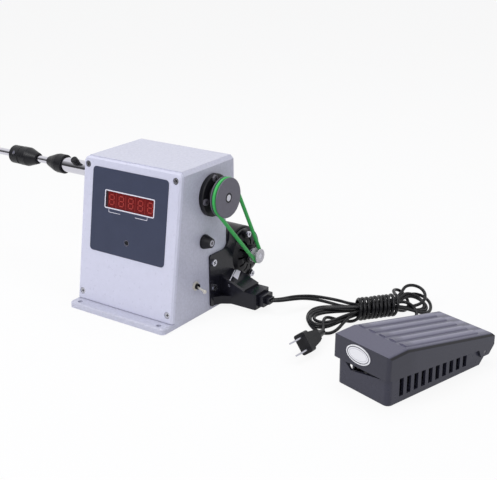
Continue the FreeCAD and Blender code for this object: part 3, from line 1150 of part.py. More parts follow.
def make_pedal_inside():
    floor = "foot_height + pedal_wall"
    case = block("rheostat_case", ("34", "44", "12"), on_pedal("-17", "38", floor), PEDAL_TURN)
    plunger = cylinder("rheostat_plunger", "3", "5", on_pedal("8", "48", f"{floor} + 12"))
    keep(fused("pedal_rheostat", [case, plunger]), "pedal_rheostat")

    ceiling = slope(("tread_crease_y", "tread_crease_z - tread_wall"),
                    ("tread_heel - 3 - tread_wall", "tread_heel_top - tread_wall"), "spring_y")
    # The wire is bent in short straight lengths, eight to a turn, with a six-sided section.
    steps, turns = 8, int(number("spring_turns"))
    radius, rise = number("spring_dia / 2 - spring_wire"), number(
        f"{ceiling} - ({floor}) - spring_wire - seat_gap * 3")
    coil = doc.addObject("Part::Polygon", "spring_line")
    coil.Nodes = [Vector(radius * math.cos(2 * math.pi * index / steps),
                         radius * math.sin(2 * math.pi * index / steps),
                         rise * index / (steps * turns)) for index in range(steps * turns + 1)]
    wire = doc.addObject("Part::RegularPolygon", "spring_wire_section")
    wire.Polygon = 6
    bind(wire, "Circumradius", "spring_wire / 2")
    wire.Placement = Placement(Vector(radius, 0, 0), Rotation(Vector(1, 0, 0), 90))
    doc.recompute()
    spring = doc.addObject("Part::Sweep", "pedal_spring")
    spring.Sections = [wire]
    spring.Spine = coil
    spring.Solid = True
    spring.Frenet = False
    spring.Transition = "Right corner"
    doc.recompute()
    place(spring, on_pedal("0", "spring_y", f"{floor} + spring_wire / 2 + seat_gap / 2"), PEDAL_TURN)
    keep(spring, "pedal_spring")

    wall = "base_width / 2"
    gland = turned("pedal_cord_gland", [
        ("0", "cord_dia / 2 + running_gap"), ("0", "gland_dia / 2"), ("2.5", "gland_dia / 2"),
        ("3.5", "gland_dia / 2 - 1"), ("12", "cord_dia / 2 + 0.8"),
        ("12", "cord_dia / 2 + running_gap")],
        on_pedal(f"-({wall})", "pedal_gland_y", "foot_height + 7"),
        PEDAL_TURN.multiply(Rotation(Vector(0, 0, 1), 180)))
    return gland


# ---------------------------------------------------------------- leads
def bend_radius(before, corner, after):
    """Radius of the arc at a corner, and the tangent length that it takes from each run."""
    inward, outward = corner - before, after - corner
    turn = inward.getAngle(outward)
    reach = 0.45 * min(inward.Length, outward.Length)
    return reach / math.tan(turn / 2), reach


def cord_path(points):
    """Straight runs joined by tangent arcs through a chosen route."""
    edges, radii = [], []
    start = points[0]
    for before, corner, after in zip(points, points[1:], points[2:]):
        radius, reach = bend_radius(before, corner, after)
        arc_in = corner + (before - corner).normalize() * reach
        arc_out = corner + (after - corner).normalize() * reach
        bisector = ((arc_in + arc_out) * 0.5 - corner).normalize()
        centre_distance = math.hypot(radius, reach)
        middle = corner + bisector * (centre_distance - radius)
        edges.append(Part.LineSegment(start, arc_in).toShape())
        edges.append(Part.Arc(arc_in, middle, arc_out).toShape())
        radii.append(round(radius, 1))
        start = arc_out
    edges.append(Part.LineSegment(start, points[-1]).toShape())
    return Part.Wire(edges), radii


def cord(label, route):
    """A plain round tube along a route of places in millimetres."""
    points = [Vector(*place_at) for place_at in route]
    path, radii = cord_path(points)
    section = Part.Wire([Part.makeCircle(number("cord_dia / 2"), points[0],
                                         points[1] - points[0])])
    shape = path.makePipeShell([section], True, False)
    expected = path.Length * math.pi * number("cord_dia / 2") ** 2
    if abs(shape.Volume / expected - 1) > 0.02:
        raise RuntimeError(f"{label} has the wrong volume")
    print(label, "length", round(path.Length, 1), "bend radii", radii)
    item = doc.addObject("Part::Feature", label)
    item.Shape = shape
    return keep(item, label)


# Routes of the leads, chosen by hand: where each one lies between its two ends.
MOTOR_LEAD = [(120.5, 105.4, 13.0), (128.6, 106.9, 14.6), (134.6, 112.6, 15.6), (138.8, 121.4, 15.2),
              (143.6, 131.4, 13.4), (149.9, 141.3, 11.4), (159.0, 148.0, 9.6), (170.3, 151.8, 8.6),
              (182.1, 151.7, 9.6), (192.9, 148.6, 11.8)]
PEDAL_LEAD = [(120.5, 101.8, 13.0), (129.4, 103.2, 14.4), (137.2, 109.4, 15.2), (142.0, 119.0, 14.2),
              (146.6, 129.4, 12.2), (152.5, 138.5, 9.6), (160.8, 144.6, 7.2), (170.9, 148.0, 5.4),
              (181.5, 147.9, 5.6), (191.9, 145.0, 7.2)]
PLUG_LEAD = [(188.8, 96.2, 8.6), (195.2, 88.6, 7.0), (199.7, 81.6, 6.8), (200.4, 73.6, 7.7)]
PEDAL_TAIL = [(256.2, 184.4, 5.4), (258.6, 174.0, 3.4), (257.6, 161.0, 2.2), (255.5, 147.0, 2.2),
              (256.0, 133.0, 4.0), (259.4, 122.0, 6.6), (266.9, 114.6, 7.8), (275.5, 112.1, 7.8)]
# Outlines of the loops at the two ends of the tied hank, and the two ends of its wrapping.
HANK_LEFT = [(202, 150), (187, 154), (172, 152), (160, 143), (155, 131), (158, 116), (165, 104),
             (177, 96.5), (192, 92), (208, 89), (213, 100), (215, 118), (214, 134)]
HANK_RIGHT = [(232, 160), (244, 166), (262, 184), (262, 194), (258, 204), (250, 216), (239, 225),
              (226, 227), (217, 215), (219, 198), (225, 180)]
HANK_TIE = [(206.5, 134.0, 12.2), (235.0, 169.3, 12.2)]


def hank_lobe(name, outline, height):
    body = new_body(name)
    sketch = new_sketch(body, "XY_Plane", ("0", "0", "hank_floor"))
    polygon(sketch, outline)
    pad(body, sketch, f"{height} - hank_floor")
    round_edges(body, "3", lambda edge: abs(edge.CenterOfMass.z - number(height)) < 0.1)
    return body


def make_leads():
    cord("motor_lead", MOTOR_LEAD)
    cord("pedal_lead", PEDAL_LEAD)
    cord("plug_lead", PLUG_LEAD)
    cord("pedal_tail", PEDAL_TAIL)

    tie_start, tie_end = (Vector(*spot) for spot in HANK_TIE)
    along = tie_end - tie_start
    wraps = cylinder("hank_wraps", "wrap_dia / 2", along.Length,
                     tuple(str(value) for value in tie_start), Rotation(Vector(0, 0, 1), along))
    lobes = [hank_lobe("hank_left", HANK_LEFT, "hank_left_top"),
             hank_lobe("hank_right", HANK_RIGHT, "hank_right_top")]
    keep(fused("cord_hank", [wraps] + lobes), "cord_hank")


# The plug lies on the edge of its face: heading, tilt and roll of its blades' direction.
PLUG_TURN = Rotation(-85.3, -6.8, -54)


def along_plug(reach, across=0, height=0):
    """A place measured from the cord's end of the strain relief."""
    return Vector(*PLUG_LEAD[-1]) + PLUG_TURN.multVec(Vector(reach, across, height))


def make_plug():
    turned("plug_relief", [
        ("0", "cord_dia / 2 + running_gap"), ("0", "cord_dia / 2 + 1.2"), ("16", "4.8"), ("16", "0"),
        ("6", "0"), ("6", "cord_dia / 2 + running_gap")],
        tuple(str(value) for value in along_plug(-6)), PLUG_TURN)
    grip = new_body("plug_grip")
    outline = new_sketch(grip, "XY_Plane", ("0", "0", "-plug_thick / 2 + 1"))
    polygon(outline, [("0", "-4.6"), ("6", "-6.5"), ("grip_length", "-plug_width / 2 + 2"),
                      ("grip_length", "plug_width / 2 - 2"), ("6", "6.5"), ("0", "4.6")])
    pad(grip, outline, "plug_thick - 2")
    grip_start = number("grip_start")
    place(grip, tuple(str(value) for value in along_plug(grip_start)), PLUG_TURN)
    slab = new_body("plug_slab")
    face = new_sketch(slab, "YZ_Plane")
    rectangle(face, ("-plug_width / 2", "-plug_thick / 2"), ("plug_width / 2", "plug_thick / 2"))
    pad(slab, face, "slab_length")
    along_x = Vector(1, 0, 0)
    round_edges(slab, "2.4", lambda edge: runs_along(edge, along_x))
    slab_start = grip_start + number("grip_length") - 0.5
    place(slab, tuple(str(value) for value in along_plug(slab_start)), PLUG_TURN)
    keep(fused("mains_plug", [grip, slab]), "mains_plug")
    reach = slab_start + number("slab_length")
    blades = []
    for side in (-1, 1):
        corner = along_plug(reach, number(f"{side} * blade_gap / 2 - blade_thick / 2"),
                            number("-blade_width / 2"))
        blades.append(block("plug_blade", ("blade_length", "blade_thick", "blade_width"),
                            tuple(str(value) for value in corner), PLUG_TURN))
    group("plug_blades", blades)


make_housing()
make_cover()
make_overlay()
make_counter()
make_spindle()
make_mandrel()
make_pick_up()
make_belt_drive()
make_controls()
make_motor()
make_terminal_box()
make_pedal_base()
make_pedal_tread()
make_pedal_inside()
make_leads()
make_plug()
doc.recompute()

for item in doc.Objects:
    if "Invalid" in item.State or "Error" in item.State:
        raise RuntimeError(f"{item.Label} did not build: {item.State}")
for item in SUB_PARTS:
    if item.Shape.isNull() or not item.Shape.isValid():
        raise RuntimeError(f"{item.Label} has no valid shape")

os.makedirs("parts", exist_ok=True)
for item in SUB_PARTS:
    item.Shape.exportStep(os.path.join("parts", item.Label + ".step"))
print(len(SUB_PARTS), "sub-parts written")
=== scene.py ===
import math

import bmesh
import bpy
from mathutils import Matrix, Vector


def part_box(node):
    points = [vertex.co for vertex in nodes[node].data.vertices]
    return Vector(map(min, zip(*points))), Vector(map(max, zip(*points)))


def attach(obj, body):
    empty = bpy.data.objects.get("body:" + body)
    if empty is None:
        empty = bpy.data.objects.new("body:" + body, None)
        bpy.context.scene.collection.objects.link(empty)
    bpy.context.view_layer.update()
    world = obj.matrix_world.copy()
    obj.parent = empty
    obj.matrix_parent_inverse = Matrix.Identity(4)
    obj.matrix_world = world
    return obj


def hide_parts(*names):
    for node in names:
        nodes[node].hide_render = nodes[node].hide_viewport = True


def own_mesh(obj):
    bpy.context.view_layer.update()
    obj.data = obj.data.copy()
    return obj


# Bench coil winder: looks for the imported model. Places and routes are in millimetres, in the same
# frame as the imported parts: +Z up, the cover faces -Y, the mandrel points along -X.

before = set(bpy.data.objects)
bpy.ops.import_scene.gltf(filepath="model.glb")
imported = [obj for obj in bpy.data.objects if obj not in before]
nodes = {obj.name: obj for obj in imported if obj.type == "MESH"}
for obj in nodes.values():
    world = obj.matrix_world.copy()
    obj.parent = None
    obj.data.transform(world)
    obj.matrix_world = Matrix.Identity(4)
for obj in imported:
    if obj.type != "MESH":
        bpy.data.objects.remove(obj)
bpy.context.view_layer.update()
MM = 0.001
UP = Vector((0.0, 0.0, 1.0))
scene = bpy.context.scene


def add_object(name, data):
    """A new object of the scene that carries the data."""
    obj = bpy.data.objects.new(name, data)
    scene.collection.objects.link(obj)
    return obj


# ---------------------------------------------------------------- camera
CAMERA_AZIMUTH = math.radians(34.8385)
CAMERA_ELEVATION = math.radians(20.0132)
CAMERA_ROLL = math.radians(-0.3676)
CAMERA_TARGET = Vector((163.7, 7.3, 120.2)) * MM
CAMERA_DISTANCE = 886.87 * MM
CAMERA_LENS, CAMERA_SENSOR = 70.07, 36.0
CAMERA_SHIFT = (-0.0048, -0.0030)
CAMERA_REACH = 20.0


def make_camera():
    data = bpy.data.cameras.new("camera")
    data.lens = CAMERA_LENS
    data.sensor_width = CAMERA_SENSOR
    data.shift_x, data.shift_y = CAMERA_SHIFT
    data.clip_end = CAMERA_REACH
    camera = add_object("camera", data)
    flat = math.cos(CAMERA_ELEVATION)
    back = Vector((math.sin(CAMERA_AZIMUTH) * flat, -math.cos(CAMERA_AZIMUTH) * flat,
                   math.sin(CAMERA_ELEVATION)))
    right = Vector((math.cos(CAMERA_AZIMUTH), math.sin(CAMERA_AZIMUTH), 0))
    up = back.cross(right)
    turned_right = right * math.cos(CAMERA_ROLL) + up * math.sin(CAMERA_ROLL)
    turned_up = up * math.cos(CAMERA_ROLL) - right * math.sin(CAMERA_ROLL)
    matrix = Matrix((turned_right, turned_up, back)).transposed().to_4x4()
    matrix.translation = CAMERA_TARGET + back * CAMERA_DISTANCE
    camera.matrix_world = matrix
    scene.camera = camera


# ---------------------------------------------------------------- cords
CORD_DIA = 3.4
# The tied bundle of the hank: where its wrapping starts, its directions and its length.
TIE_START = Vector((206.5, 134.0, 12.4))
TIE_ALONG = Vector((0.628, 0.778, 0.0))
TIE_ACROSS = Vector((-0.778, 0.628, 0.0))
TIE_LENGTH = 45.3
# The strands inside it: how far apart they lie across and in height, and where they are held.
STRAND_PITCH = 3.45
ROW_PITCH = 2.95
STRAND_STATIONS = (7.0, 22.5, 38.5)
# The cord's own turns round the bundle: their number, the points of each and their pitch, how
# far inside the bundle's end the first one starts, and their radius and lean.
WRAP_TURNS, WRAP_STEPS, WRAP_PITCH = 9.4, 16, 4.5
WRAP_INSET, WRAP_RADIUS, WRAP_LEAN = 1.6, 10.5, 1.6

# Lead from the connector to the hank, and its neighbour just in front of it.
MOTOR_LEAD = [(120.5, 105.4, 13.0), (128.6, 106.9, 14.6), (134.9, 112.5, 15.7),
              (139.0, 121.3, 15.2), (143.5, 131.5, 13.4), (150.0, 141.2, 11.4),
              (159.1, 148.2, 9.5), (170.1, 151.8, 8.6), (181.7, 149.9, 9.8),
              (194.4, 143.6, 12.6)]
PEDAL_LEAD = [(120.5, 101.8, 13.0), (129.4, 103.2, 14.4), (137.0, 109.4, 15.1),
              (142.1, 119.0, 14.2), (146.6, 129.4, 12.2), (152.6, 138.4, 9.6),
              (160.8, 144.8, 7.1), (170.7, 148.0, 5.4), (181.7, 146.6, 5.9),
              (195.5, 141.3, 10.0)]
# Loops of the hank, at its left and right ends.
LEFT_1 = [(193.6, 135.4, 11.4), (179.4, 132.0, 9.7), (168.2, 128.4, 7.9), (162.7, 121.1, 6.6),
          (163.7, 110.2, 5.6), (169.9, 98.7, 4.9), (179.0, 90.7, 4.6), (188.3, 89.3, 4.7),
          (195.9, 94.3, 5.3), (201.0, 105.9, 6.7), (206.1, 121.6, 8.4)]
LEFT_2 = [(197.3, 131.6, 11.7), (184.9, 125.4, 10.5), (175.5, 119.3, 9.2), (170.9, 111.2, 8.3),
          (171.6, 101.6, 7.6), (176.6, 93.5, 7.2), (184.3, 89.8, 7.1), (192.0, 91.4, 7.1),
          (197.5, 97.8, 7.5), (200.6, 109.3, 8.2), (204.2, 124.4, 9.0)]
LEFT_3 = [(197.0, 131.8, 9.1), (186.2, 124.2, 8.5), (178.1, 117.1, 8.0), (174.3, 109.3, 7.7),
          (175.6, 101.7, 7.6), (180.8, 96.5, 7.8), (187.8, 95.2, 8.2), (194.2, 97.8, 8.7),
          (198.3, 103.9, 9.5), (201.6, 112.9, 10.5), (206.8, 123.9, 11.7)]
LEFT_5 = [(200.8, 128.8, 14.5), (187.1, 124.1, 12.9), (175.7, 120.5, 11.0), (169.0, 114.9, 9.2),
          (167.6, 106.7, 7.5), (171.5, 97.4, 5.9), (179.4, 89.5, 4.3), (188.9, 85.3, 2.9),
          (197.5, 85.7, 2.0), (203.5, 90.5, 2.1), (205.9, 98.8, 3.6), (205.9, 110.3, 6.6),
          (206.9, 124.2, 10.1)]
RIGHT_1 = [(232.4, 178.6, 16.9), (231.8, 189.3, 19.3), (230.8, 197.8, 21.3), (233.3, 204.0, 21.8),
           (238.6, 208.1, 20.9), (245.1, 208.8, 18.9), (250.9, 205.6, 16.1), (254.1, 199.4, 13.0),
           (254.2, 191.7, 10.6), (250.5, 183.3, 9.4), (243.2, 173.5, 9.2)]
RIGHT_2 = [(232.8, 181.5, 12.9), (235.4, 194.8, 13.3), (237.7, 204.6, 12.7), (242.9, 209.8, 10.8),
           (249.9, 210.9, 8.2), (256.8, 206.9, 5.5), (261.6, 199.0, 3.5), (263.3, 190.1, 2.7),
           (261.1, 182.6, 3.8), (255.0, 176.7, 6.6), (245.6, 170.2, 10.1)]
RIGHT_3 = [(234.0, 178.1, 16.1), (233.7, 191.0, 16.3), (236.7, 200.1, 14.2), (243.9, 204.0, 10.4),
           (251.9, 201.6, 6.8), (256.3, 193.7, 4.7), (254.4, 184.1, 5.0), (244.0, 174.7, 7.4)]
RIGHT_4 = [(234.0, 180.0, 12.9), (235.7, 193.4, 12.9), (239.5, 201.6, 10.9), (246.4, 204.9, 7.5),
           (253.6, 202.7, 4.3), (258.1, 196.2, 2.7), (258.2, 188.1, 3.4), (252.9, 180.7, 6.3),
           (243.2, 173.0, 10.0)]
# From the last pass into the wrapping, out of it again, on to the plug, and to the pedal.
TURN_IN = [(240.2, 176.4, 2.4), (241.2, 188.9, 3.6), (234.6, 195.8, 11.2), (226.9, 191.8, 19.4),
           (225.2, 180.4, 22.6)]
TURN_OUT = [(211.2, 127.5, 4.5), (206.9, 126.1, 2.1), (201.8, 124.2, 1.9), (193.1, 118.9, 3.4)]
LEFT_4 = [(187.7, 112.7, 7.0), (186.9, 105.0, 9.1), (190.0, 96.5, 8.5), (195.2, 88.6, 7.0),
          (198.9, 81.9, 6.9), (200.4, 73.6, 7.7)]
PEDAL_TAIL = [(240.3, 174.2, 15.5), (247.5, 178.8, 12.3), (254.6, 177.4, 7.4), (258.6, 170.8, 3.4),
              (257.6, 161.0, 2.2), (255.5, 147.0, 2.2), (256.0, 133.0, 4.0), (259.4, 122.0, 6.6),
              (266.9, 114.6, 7.8), (275.5, 112.1, 7.8)]


def in_tie(along, across, height):
    """A place in the tied bundle: along it, across it and above its middle."""
    return tuple(TIE_START + TIE_ALONG * along + TIE_ACROSS * across + UP * height)


def strand(across, row, rightward):
    """A straight pass through the wrapping: its place across in strand pitches, and its row."""
    stations = STRAND_STATIONS if rightward else reversed(STRAND_STATIONS)
    return [in_tie(along, across * STRAND_PITCH, row * ROW_PITCH) for along in stations]


def wrapping():
    """The turns round the bundle, from its right end to its left, uneven as if wound by hand."""
    points = []
    for index in range(int(WRAP_TURNS * WRAP_STEPS) + 1):
        turn = index / WRAP_STEPS
        angle = 2 * math.pi * turn + 1.2
        uneven = 0.35 * math.sin(2.3 * turn) + 0.25 * math.sin(5.1 * turn + 1.0)
        radius = WRAP_RADIUS + 0.15 * math.sin(1.7 * turn + 0.5)
        lean = WRAP_LEAN * math.sin(angle + 0.4)
        along = TIE_LENGTH - WRAP_INSET - turn * WRAP_PITCH + uneven + lean
        points.append(in_tie(along, radius * math.cos(angle), radius * math.sin(angle)))
    return points


def make_curve(name, points, diameter):
    """A round cord along a smooth curve through the neighbourhood of its points."""
    data = bpy.data.curves.new(name, "CURVE")
    data.dimensions = "3D"
    data.resolution_u = 6
    data.bevel_depth = 1.0
    data.bevel_resolution = 5
    data.use_fill_caps = True
    spline = data.splines.new("NURBS")
    spline.points.add(len(points) - 1)
    for point, place in zip(spline.points, points):
        point.co = (*(Vector(place) * MM), 1.0)
        point.radius = diameter / 2 * MM
    spline.order_u = 3
    spline.use_endpoint_u = True
    return add_object(name, data)


def spline_length(obj):
    """Length of a curve's own line, read from its evaluated spline."""
    depth = obj.data.bevel_depth
    obj.data.bevel_depth = 0.0
    bpy.context.view_layer.update()
    bare = obj.evaluated_get(bpy.context.evaluated_depsgraph_get())
    mesh = bpy.data.meshes.new_from_object(bare)
    length = sum((mesh.vertices[edge.vertices[0]].co - mesh.vertices[edge.vertices[1]].co).length
                 for edge in mesh.edges)
    obj.data.bevel_depth = depth
    return length


def make_cords():
    """Both cords, from the connector through the hank, one to the plug, one to the pedal."""
    mains = (MOTOR_LEAD + strand(1, 1, True) + RIGHT_1 + strand(-1, -1, False) + LEFT_1[::-1]
             + strand(1.5, 0, True) + RIGHT_2 + strand(-1.5, 0, False) + LEFT_3[::-1]
             + strand(1, -1, True) + TURN_IN + wrapping() + TURN_OUT + LEFT_4)
    pedal = (PEDAL_LEAD + strand(0, 1, True) + RIGHT_3 + strand(0, -1, False) + LEFT_2[::-1]
             + strand(0.5, 0, True) + RIGHT_4 + strand(-0.5, 0, False) + LEFT_5[::-1]
             + strand(-1, 1, True) + PEDAL_TAIL)
    mains_cord = make_curve("mains_cord", mains, CORD_DIA)
    pedal_cord = make_curve("pedal_cord", pedal, CORD_DIA)
    for cord in (mains_cord, pedal_cord):
        print(cord.name, "length", round(spline_length(cord), 3))
        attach(cord, "frame")
    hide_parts("motor_lead", "plug_lead", "cord_hank")
    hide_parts("pedal_lead", "pedal_tail")
    return mains_cord, pedal_cord


# ---------------------------------------------------------------- materials
def colour(red, green, blue):
    """A colour given as sRGB 0-255, in the renderer's linear values."""
    def linear(value):
        share = value / 255
        return share / 12.92 if share <= 0.04045 else ((share + 0.055) / 1.055) ** 2.4
    return (linear(red), linear(green), linear(blue), 1.0)


class Finish:
    """A Principled material with its node tree at hand."""

    def __init__(self, name, rgb, roughness, metallic=0.0, coat=0.0, specular=0.5):
        self.material = bpy.data.materials.new(name)
        self.material.use_nodes = True
        self.tree = self.material.node_tree
        self.shader = self.tree.nodes["Principled BSDF"]
        self.rgb = colour(*rgb)
        settings = {"Base Color": self.rgb, "Roughness": roughness, "Metallic": metallic,
                    "Coat Weight": coat, "Coat Roughness": 0.08, "Specular IOR Level": specular}
        for entry, value in settings.items():
            self.shader.inputs[entry].default_value = value
        self.place = self.tree.nodes.new("ShaderNodeTexCoord").outputs["Object"]

    def noise(self, scale, detail=3.0):
        node = self.tree.nodes.new("ShaderNodeTexNoise")
        node.inputs["Scale"].default_value = scale
        node.inputs["Detail"].default_value = detail
        self.tree.links.new(self.place, node.inputs["Vector"])
        return node.outputs["Fac"]

    def ramp(self, value, stops):
        node = self.tree.nodes.new("ShaderNodeValToRGB")
        ramp = node.color_ramp
        while len(ramp.elements) < len(stops):
            ramp.elements.new(0.5)
        for element, (position, tone) in zip(ramp.elements, stops):
            element.position = position
            element.color = tone
        self.tree.links.new(value, node.inputs["Fac"])
        return node.outputs["Color"]

    def vary_colour(self, value, low, high):
        """Shade the base colour between two brightness factors."""
        tones = [tuple(channel * factor for channel in self.rgb[:3]) + (1.0,)
                 for factor in (low, high)]
        shade = self.ramp(value, [(0.25, tones[0]), (0.75, tones[1])])
        self.tree.links.new(shade, self.shader.inputs["Base Color"])

    def vary_roughness(self, value, low, high):
        span = remap(self.tree, value, 0.3, 0.7, low, high)
        self.tree.links.new(span, self.shader.inputs["Roughness"])

    def bump(self, value, distance, strength):
        """Fine relief: its full height in metres, and how much of it shows."""
        node = self.tree.nodes.new("ShaderNodeBump")
        node.inputs["Strength"].default_value = strength
        node.inputs["Distance"].default_value = distance
        self.tree.links.new(value, node.inputs["Height"])
        self.tree.links.new(node.outputs["Normal"], self.shader.inputs["Normal"])


def remap(tree, value, from_low, from_high, low=0.0, high=1.0):
    """A value's range stretched onto another one, and clamped to it."""
    node = tree.nodes.new("ShaderNodeMapRange")
    node.inputs["From Min"].default_value = from_low
    node.inputs["From Max"].default_value = from_high
    node.inputs["To Min"].default_value = low
    node.inputs["To Max"].default_value = high
    tree.links.new(value, node.inputs["Value"])
    return node.outputs["Result"]


def maths(tree, operation, *values):
    """A Math node on plain numbers and the outputs of other nodes."""
    node = tree.nodes.new("ShaderNodeMath")
    node.operation = operation
    for socket, value in zip(node.inputs, values):
        if isinstance(value, float):
            socket.default_value = value
        else:
            tree.links.new(value, socket)
    return node.outputs[0]


def hammer_paint():
    finish = Finish("hammer_paint", (196, 197, 214), 0.38, coat=0.25)
    finish.vary_colour(finish.noise(420, 4), 0.90, 1.06)
    finish.vary_roughness(finish.noise(300), 0.28, 0.5)
    finish.bump(finish.noise(520, 2), 0.00035, 0.5)
    return finish.material


def cover_paint():
    finish = Finish("cover_paint", (208, 209, 228), 0.30, coat=0.35)
    finish.vary_colour(finish.noise(180, 4), 0.97, 1.02)
    finish.vary_roughness(finish.noise(260), 0.26, 0.38)
    finish.bump(finish.noise(900, 2), 0.00008, 0.35)
    return finish.material


def overlay_film():
    finish = Finish("overlay_film", (56, 62, 84), 0.42, specular=0.3)
    finish.vary_colour(finish.noise(60), 0.95, 1.06)
    finish.vary_roughness(finish.noise(700), 0.38, 0.5)
    finish.bump(finish.noise(2600, 1), 0.00003, 0.3)
    return finish.material


def simple(name, rgb, roughness, grain=600, relief=0.00005, mottle=0.06, **extra):
    """A moulded or machined surface with fine grain, tone and gloss variation."""
    finish = Finish(name, rgb, roughness, **extra)
    finish.vary_colour(finish.noise(grain * 0.3, 4), 1 - mottle, 1 + mottle)
    finish.vary_roughness(finish.noise(grain * 0.5), roughness * 0.85, roughness * 1.2)
    finish.bump(finish.noise(grain, 2), relief, 0.4)
    return finish.material


# The pedal: the middle of its toe's edge on the floor, and its directions.
PEDAL_TOE = Vector((286.6, 0.6, 0.0))
PEDAL_YAW = math.radians(16.2)
PEDAL_ACROSS = Vector((math.cos(PEDAL_YAW), -math.sin(PEDAL_YAW), 0.0))
PEDAL_ALONG = Vector((math.sin(PEDAL_YAW), math.cos(PEDAL_YAW), 0.0))
# Its ridged deck: half its width, the number of ridges, and the distances from the toe over
# which the deck starts, the toe's painted shade ends and the painted ridge highlights start.
DECK_HALF, RIDGES = 30.75, 5
DECK_START, TOE_SHADE_END, RIDGE_START = (14, 16), (24, 34), (31, 38)


def on_pedal(across, along, height):
    """A place given from the pedal's toe: across it, along it and above the floor."""
    return PEDAL_TOE + PEDAL_ACROSS * across + PEDAL_ALONG * along + UP * height


def from_toe(finish, direction, least, most):
    """0 to 1 between two distances from the pedal's toe along a direction."""
    tree = finish.tree
    offset = tree.nodes.new("ShaderNodeVectorMath")
    offset.operation = "SUBTRACT"
    offset.inputs[1].default_value = PEDAL_TOE * MM
    tree.links.new(finish.place, offset.inputs[0])
    length = tree.nodes.new("ShaderNodeVectorMath")
    length.operation = "DOT_PRODUCT"
    length.inputs[1].default_value = direction
    tree.links.new(offset.outputs["Vector"], length.inputs[0])
    return remap(tree, length.outputs["Value"], least * MM, most * MM)


def blend(tree, mode, share, first, second):
    """Two colours mixed by a share, or wholly where the share is None."""
    mix = tree.nodes.new("ShaderNodeMix")
    mix.data_type = "RGBA"
    mix.blend_type = mode
    if share is None:
        mix.inputs["Factor"].default_value = 1.0
    else:
        tree.links.new(share, mix.inputs["Factor"])
    tree.links.new(first, mix.inputs["A"])
    tree.links.new(second, mix.inputs["B"])
    return mix.outputs["Result"]


def tread_painted_light():
    """Satin plastic with painted light: painted shade along the rounded rim over the skirt and
    on the toe, and painted highlights that make the ridges on top lighter.
    """
    finish = Finish("tread_grey_painted_light", (66, 66, 80), 0.36, specular=0.35)
    tree = finish.tree
    normal = tree.nodes.new("ShaderNodeNewGeometry").outputs["Normal"]
    split = tree.nodes.new("ShaderNodeSeparateXYZ")
    tree.links.new(normal, split.inputs["Vector"])
    # Painted light by the slope: shaded upright sides, a painted dark shade on the rounded
    # edge, and a lit top where it lies flat.
    side, edge, top = colour(57, 57, 70), colour(20, 19, 28), colour(98, 97, 116)
    rim = finish.ramp(split.outputs["Z"], [(0.0, side), (0.12, side), (0.25, edge), (0.66, edge),
                                           (0.9, top), (1.0, top)])
    # Painted light: the deck's steep faces are painted lighter, to cancel their shade.
    deck = finish.ramp(split.outputs["Z"], [(0.0, colour(130, 128, 148)), (0.9, top)])
    # Painted highlights and shade on the ridges: a bright flank, a lighter crest and a dark foot
    # on both sides of each.
    across = from_toe(finish, PEDAL_ACROSS, -DECK_HALF, DECK_HALF)
    ridges = []
    for ridge in range(RIDGES):
        middle = (ridge + 0.5) / RIDGES
        ridges += [(middle - 0.08, (0.74, 0.74, 0.78, 1)), (middle - 0.03, (1.75, 1.75, 1.7, 1)),
                   (middle + 0.03, (1.4, 1.4, 1.38, 1)), (middle + 0.075, (0.76, 0.76, 0.8, 1))]
    deck = blend(tree, "MULTIPLY", from_toe(finish, PEDAL_ALONG, *RIDGE_START), deck,
                 finish.ramp(across, ridges))
    inside = maths(tree, "COMPARE", across, 0.5, 0.485)
    on_deck = maths(tree, "MULTIPLY", inside, from_toe(finish, PEDAL_ALONG, *DECK_START))
    shade = blend(tree, "MIX", on_deck, rim, deck)
    # Painted shade: the tone darkens towards the toe.
    toe = finish.ramp(from_toe(finish, PEDAL_ALONG, *TOE_SHADE_END),
                      [(0.0, (0.80, 0.80, 0.83, 1)), (1.0, (1, 1, 1, 1))])
    shade = blend(tree, "MULTIPLY", None, shade, toe)
    grain = finish.ramp(finish.noise(500, 4), [(0.3, (0.94, 0.94, 0.94, 1)), (0.7, (1, 1, 1, 1))])
    shade = blend(tree, "MULTIPLY", None, shade, grain)
    tree.links.new(shade, finish.shader.inputs["Base Color"])
    finish.vary_roughness(finish.noise(700), 0.30, 0.44)
    finish.bump(finish.noise(1400, 2), 0.0001, 0.4)
    return finish.material


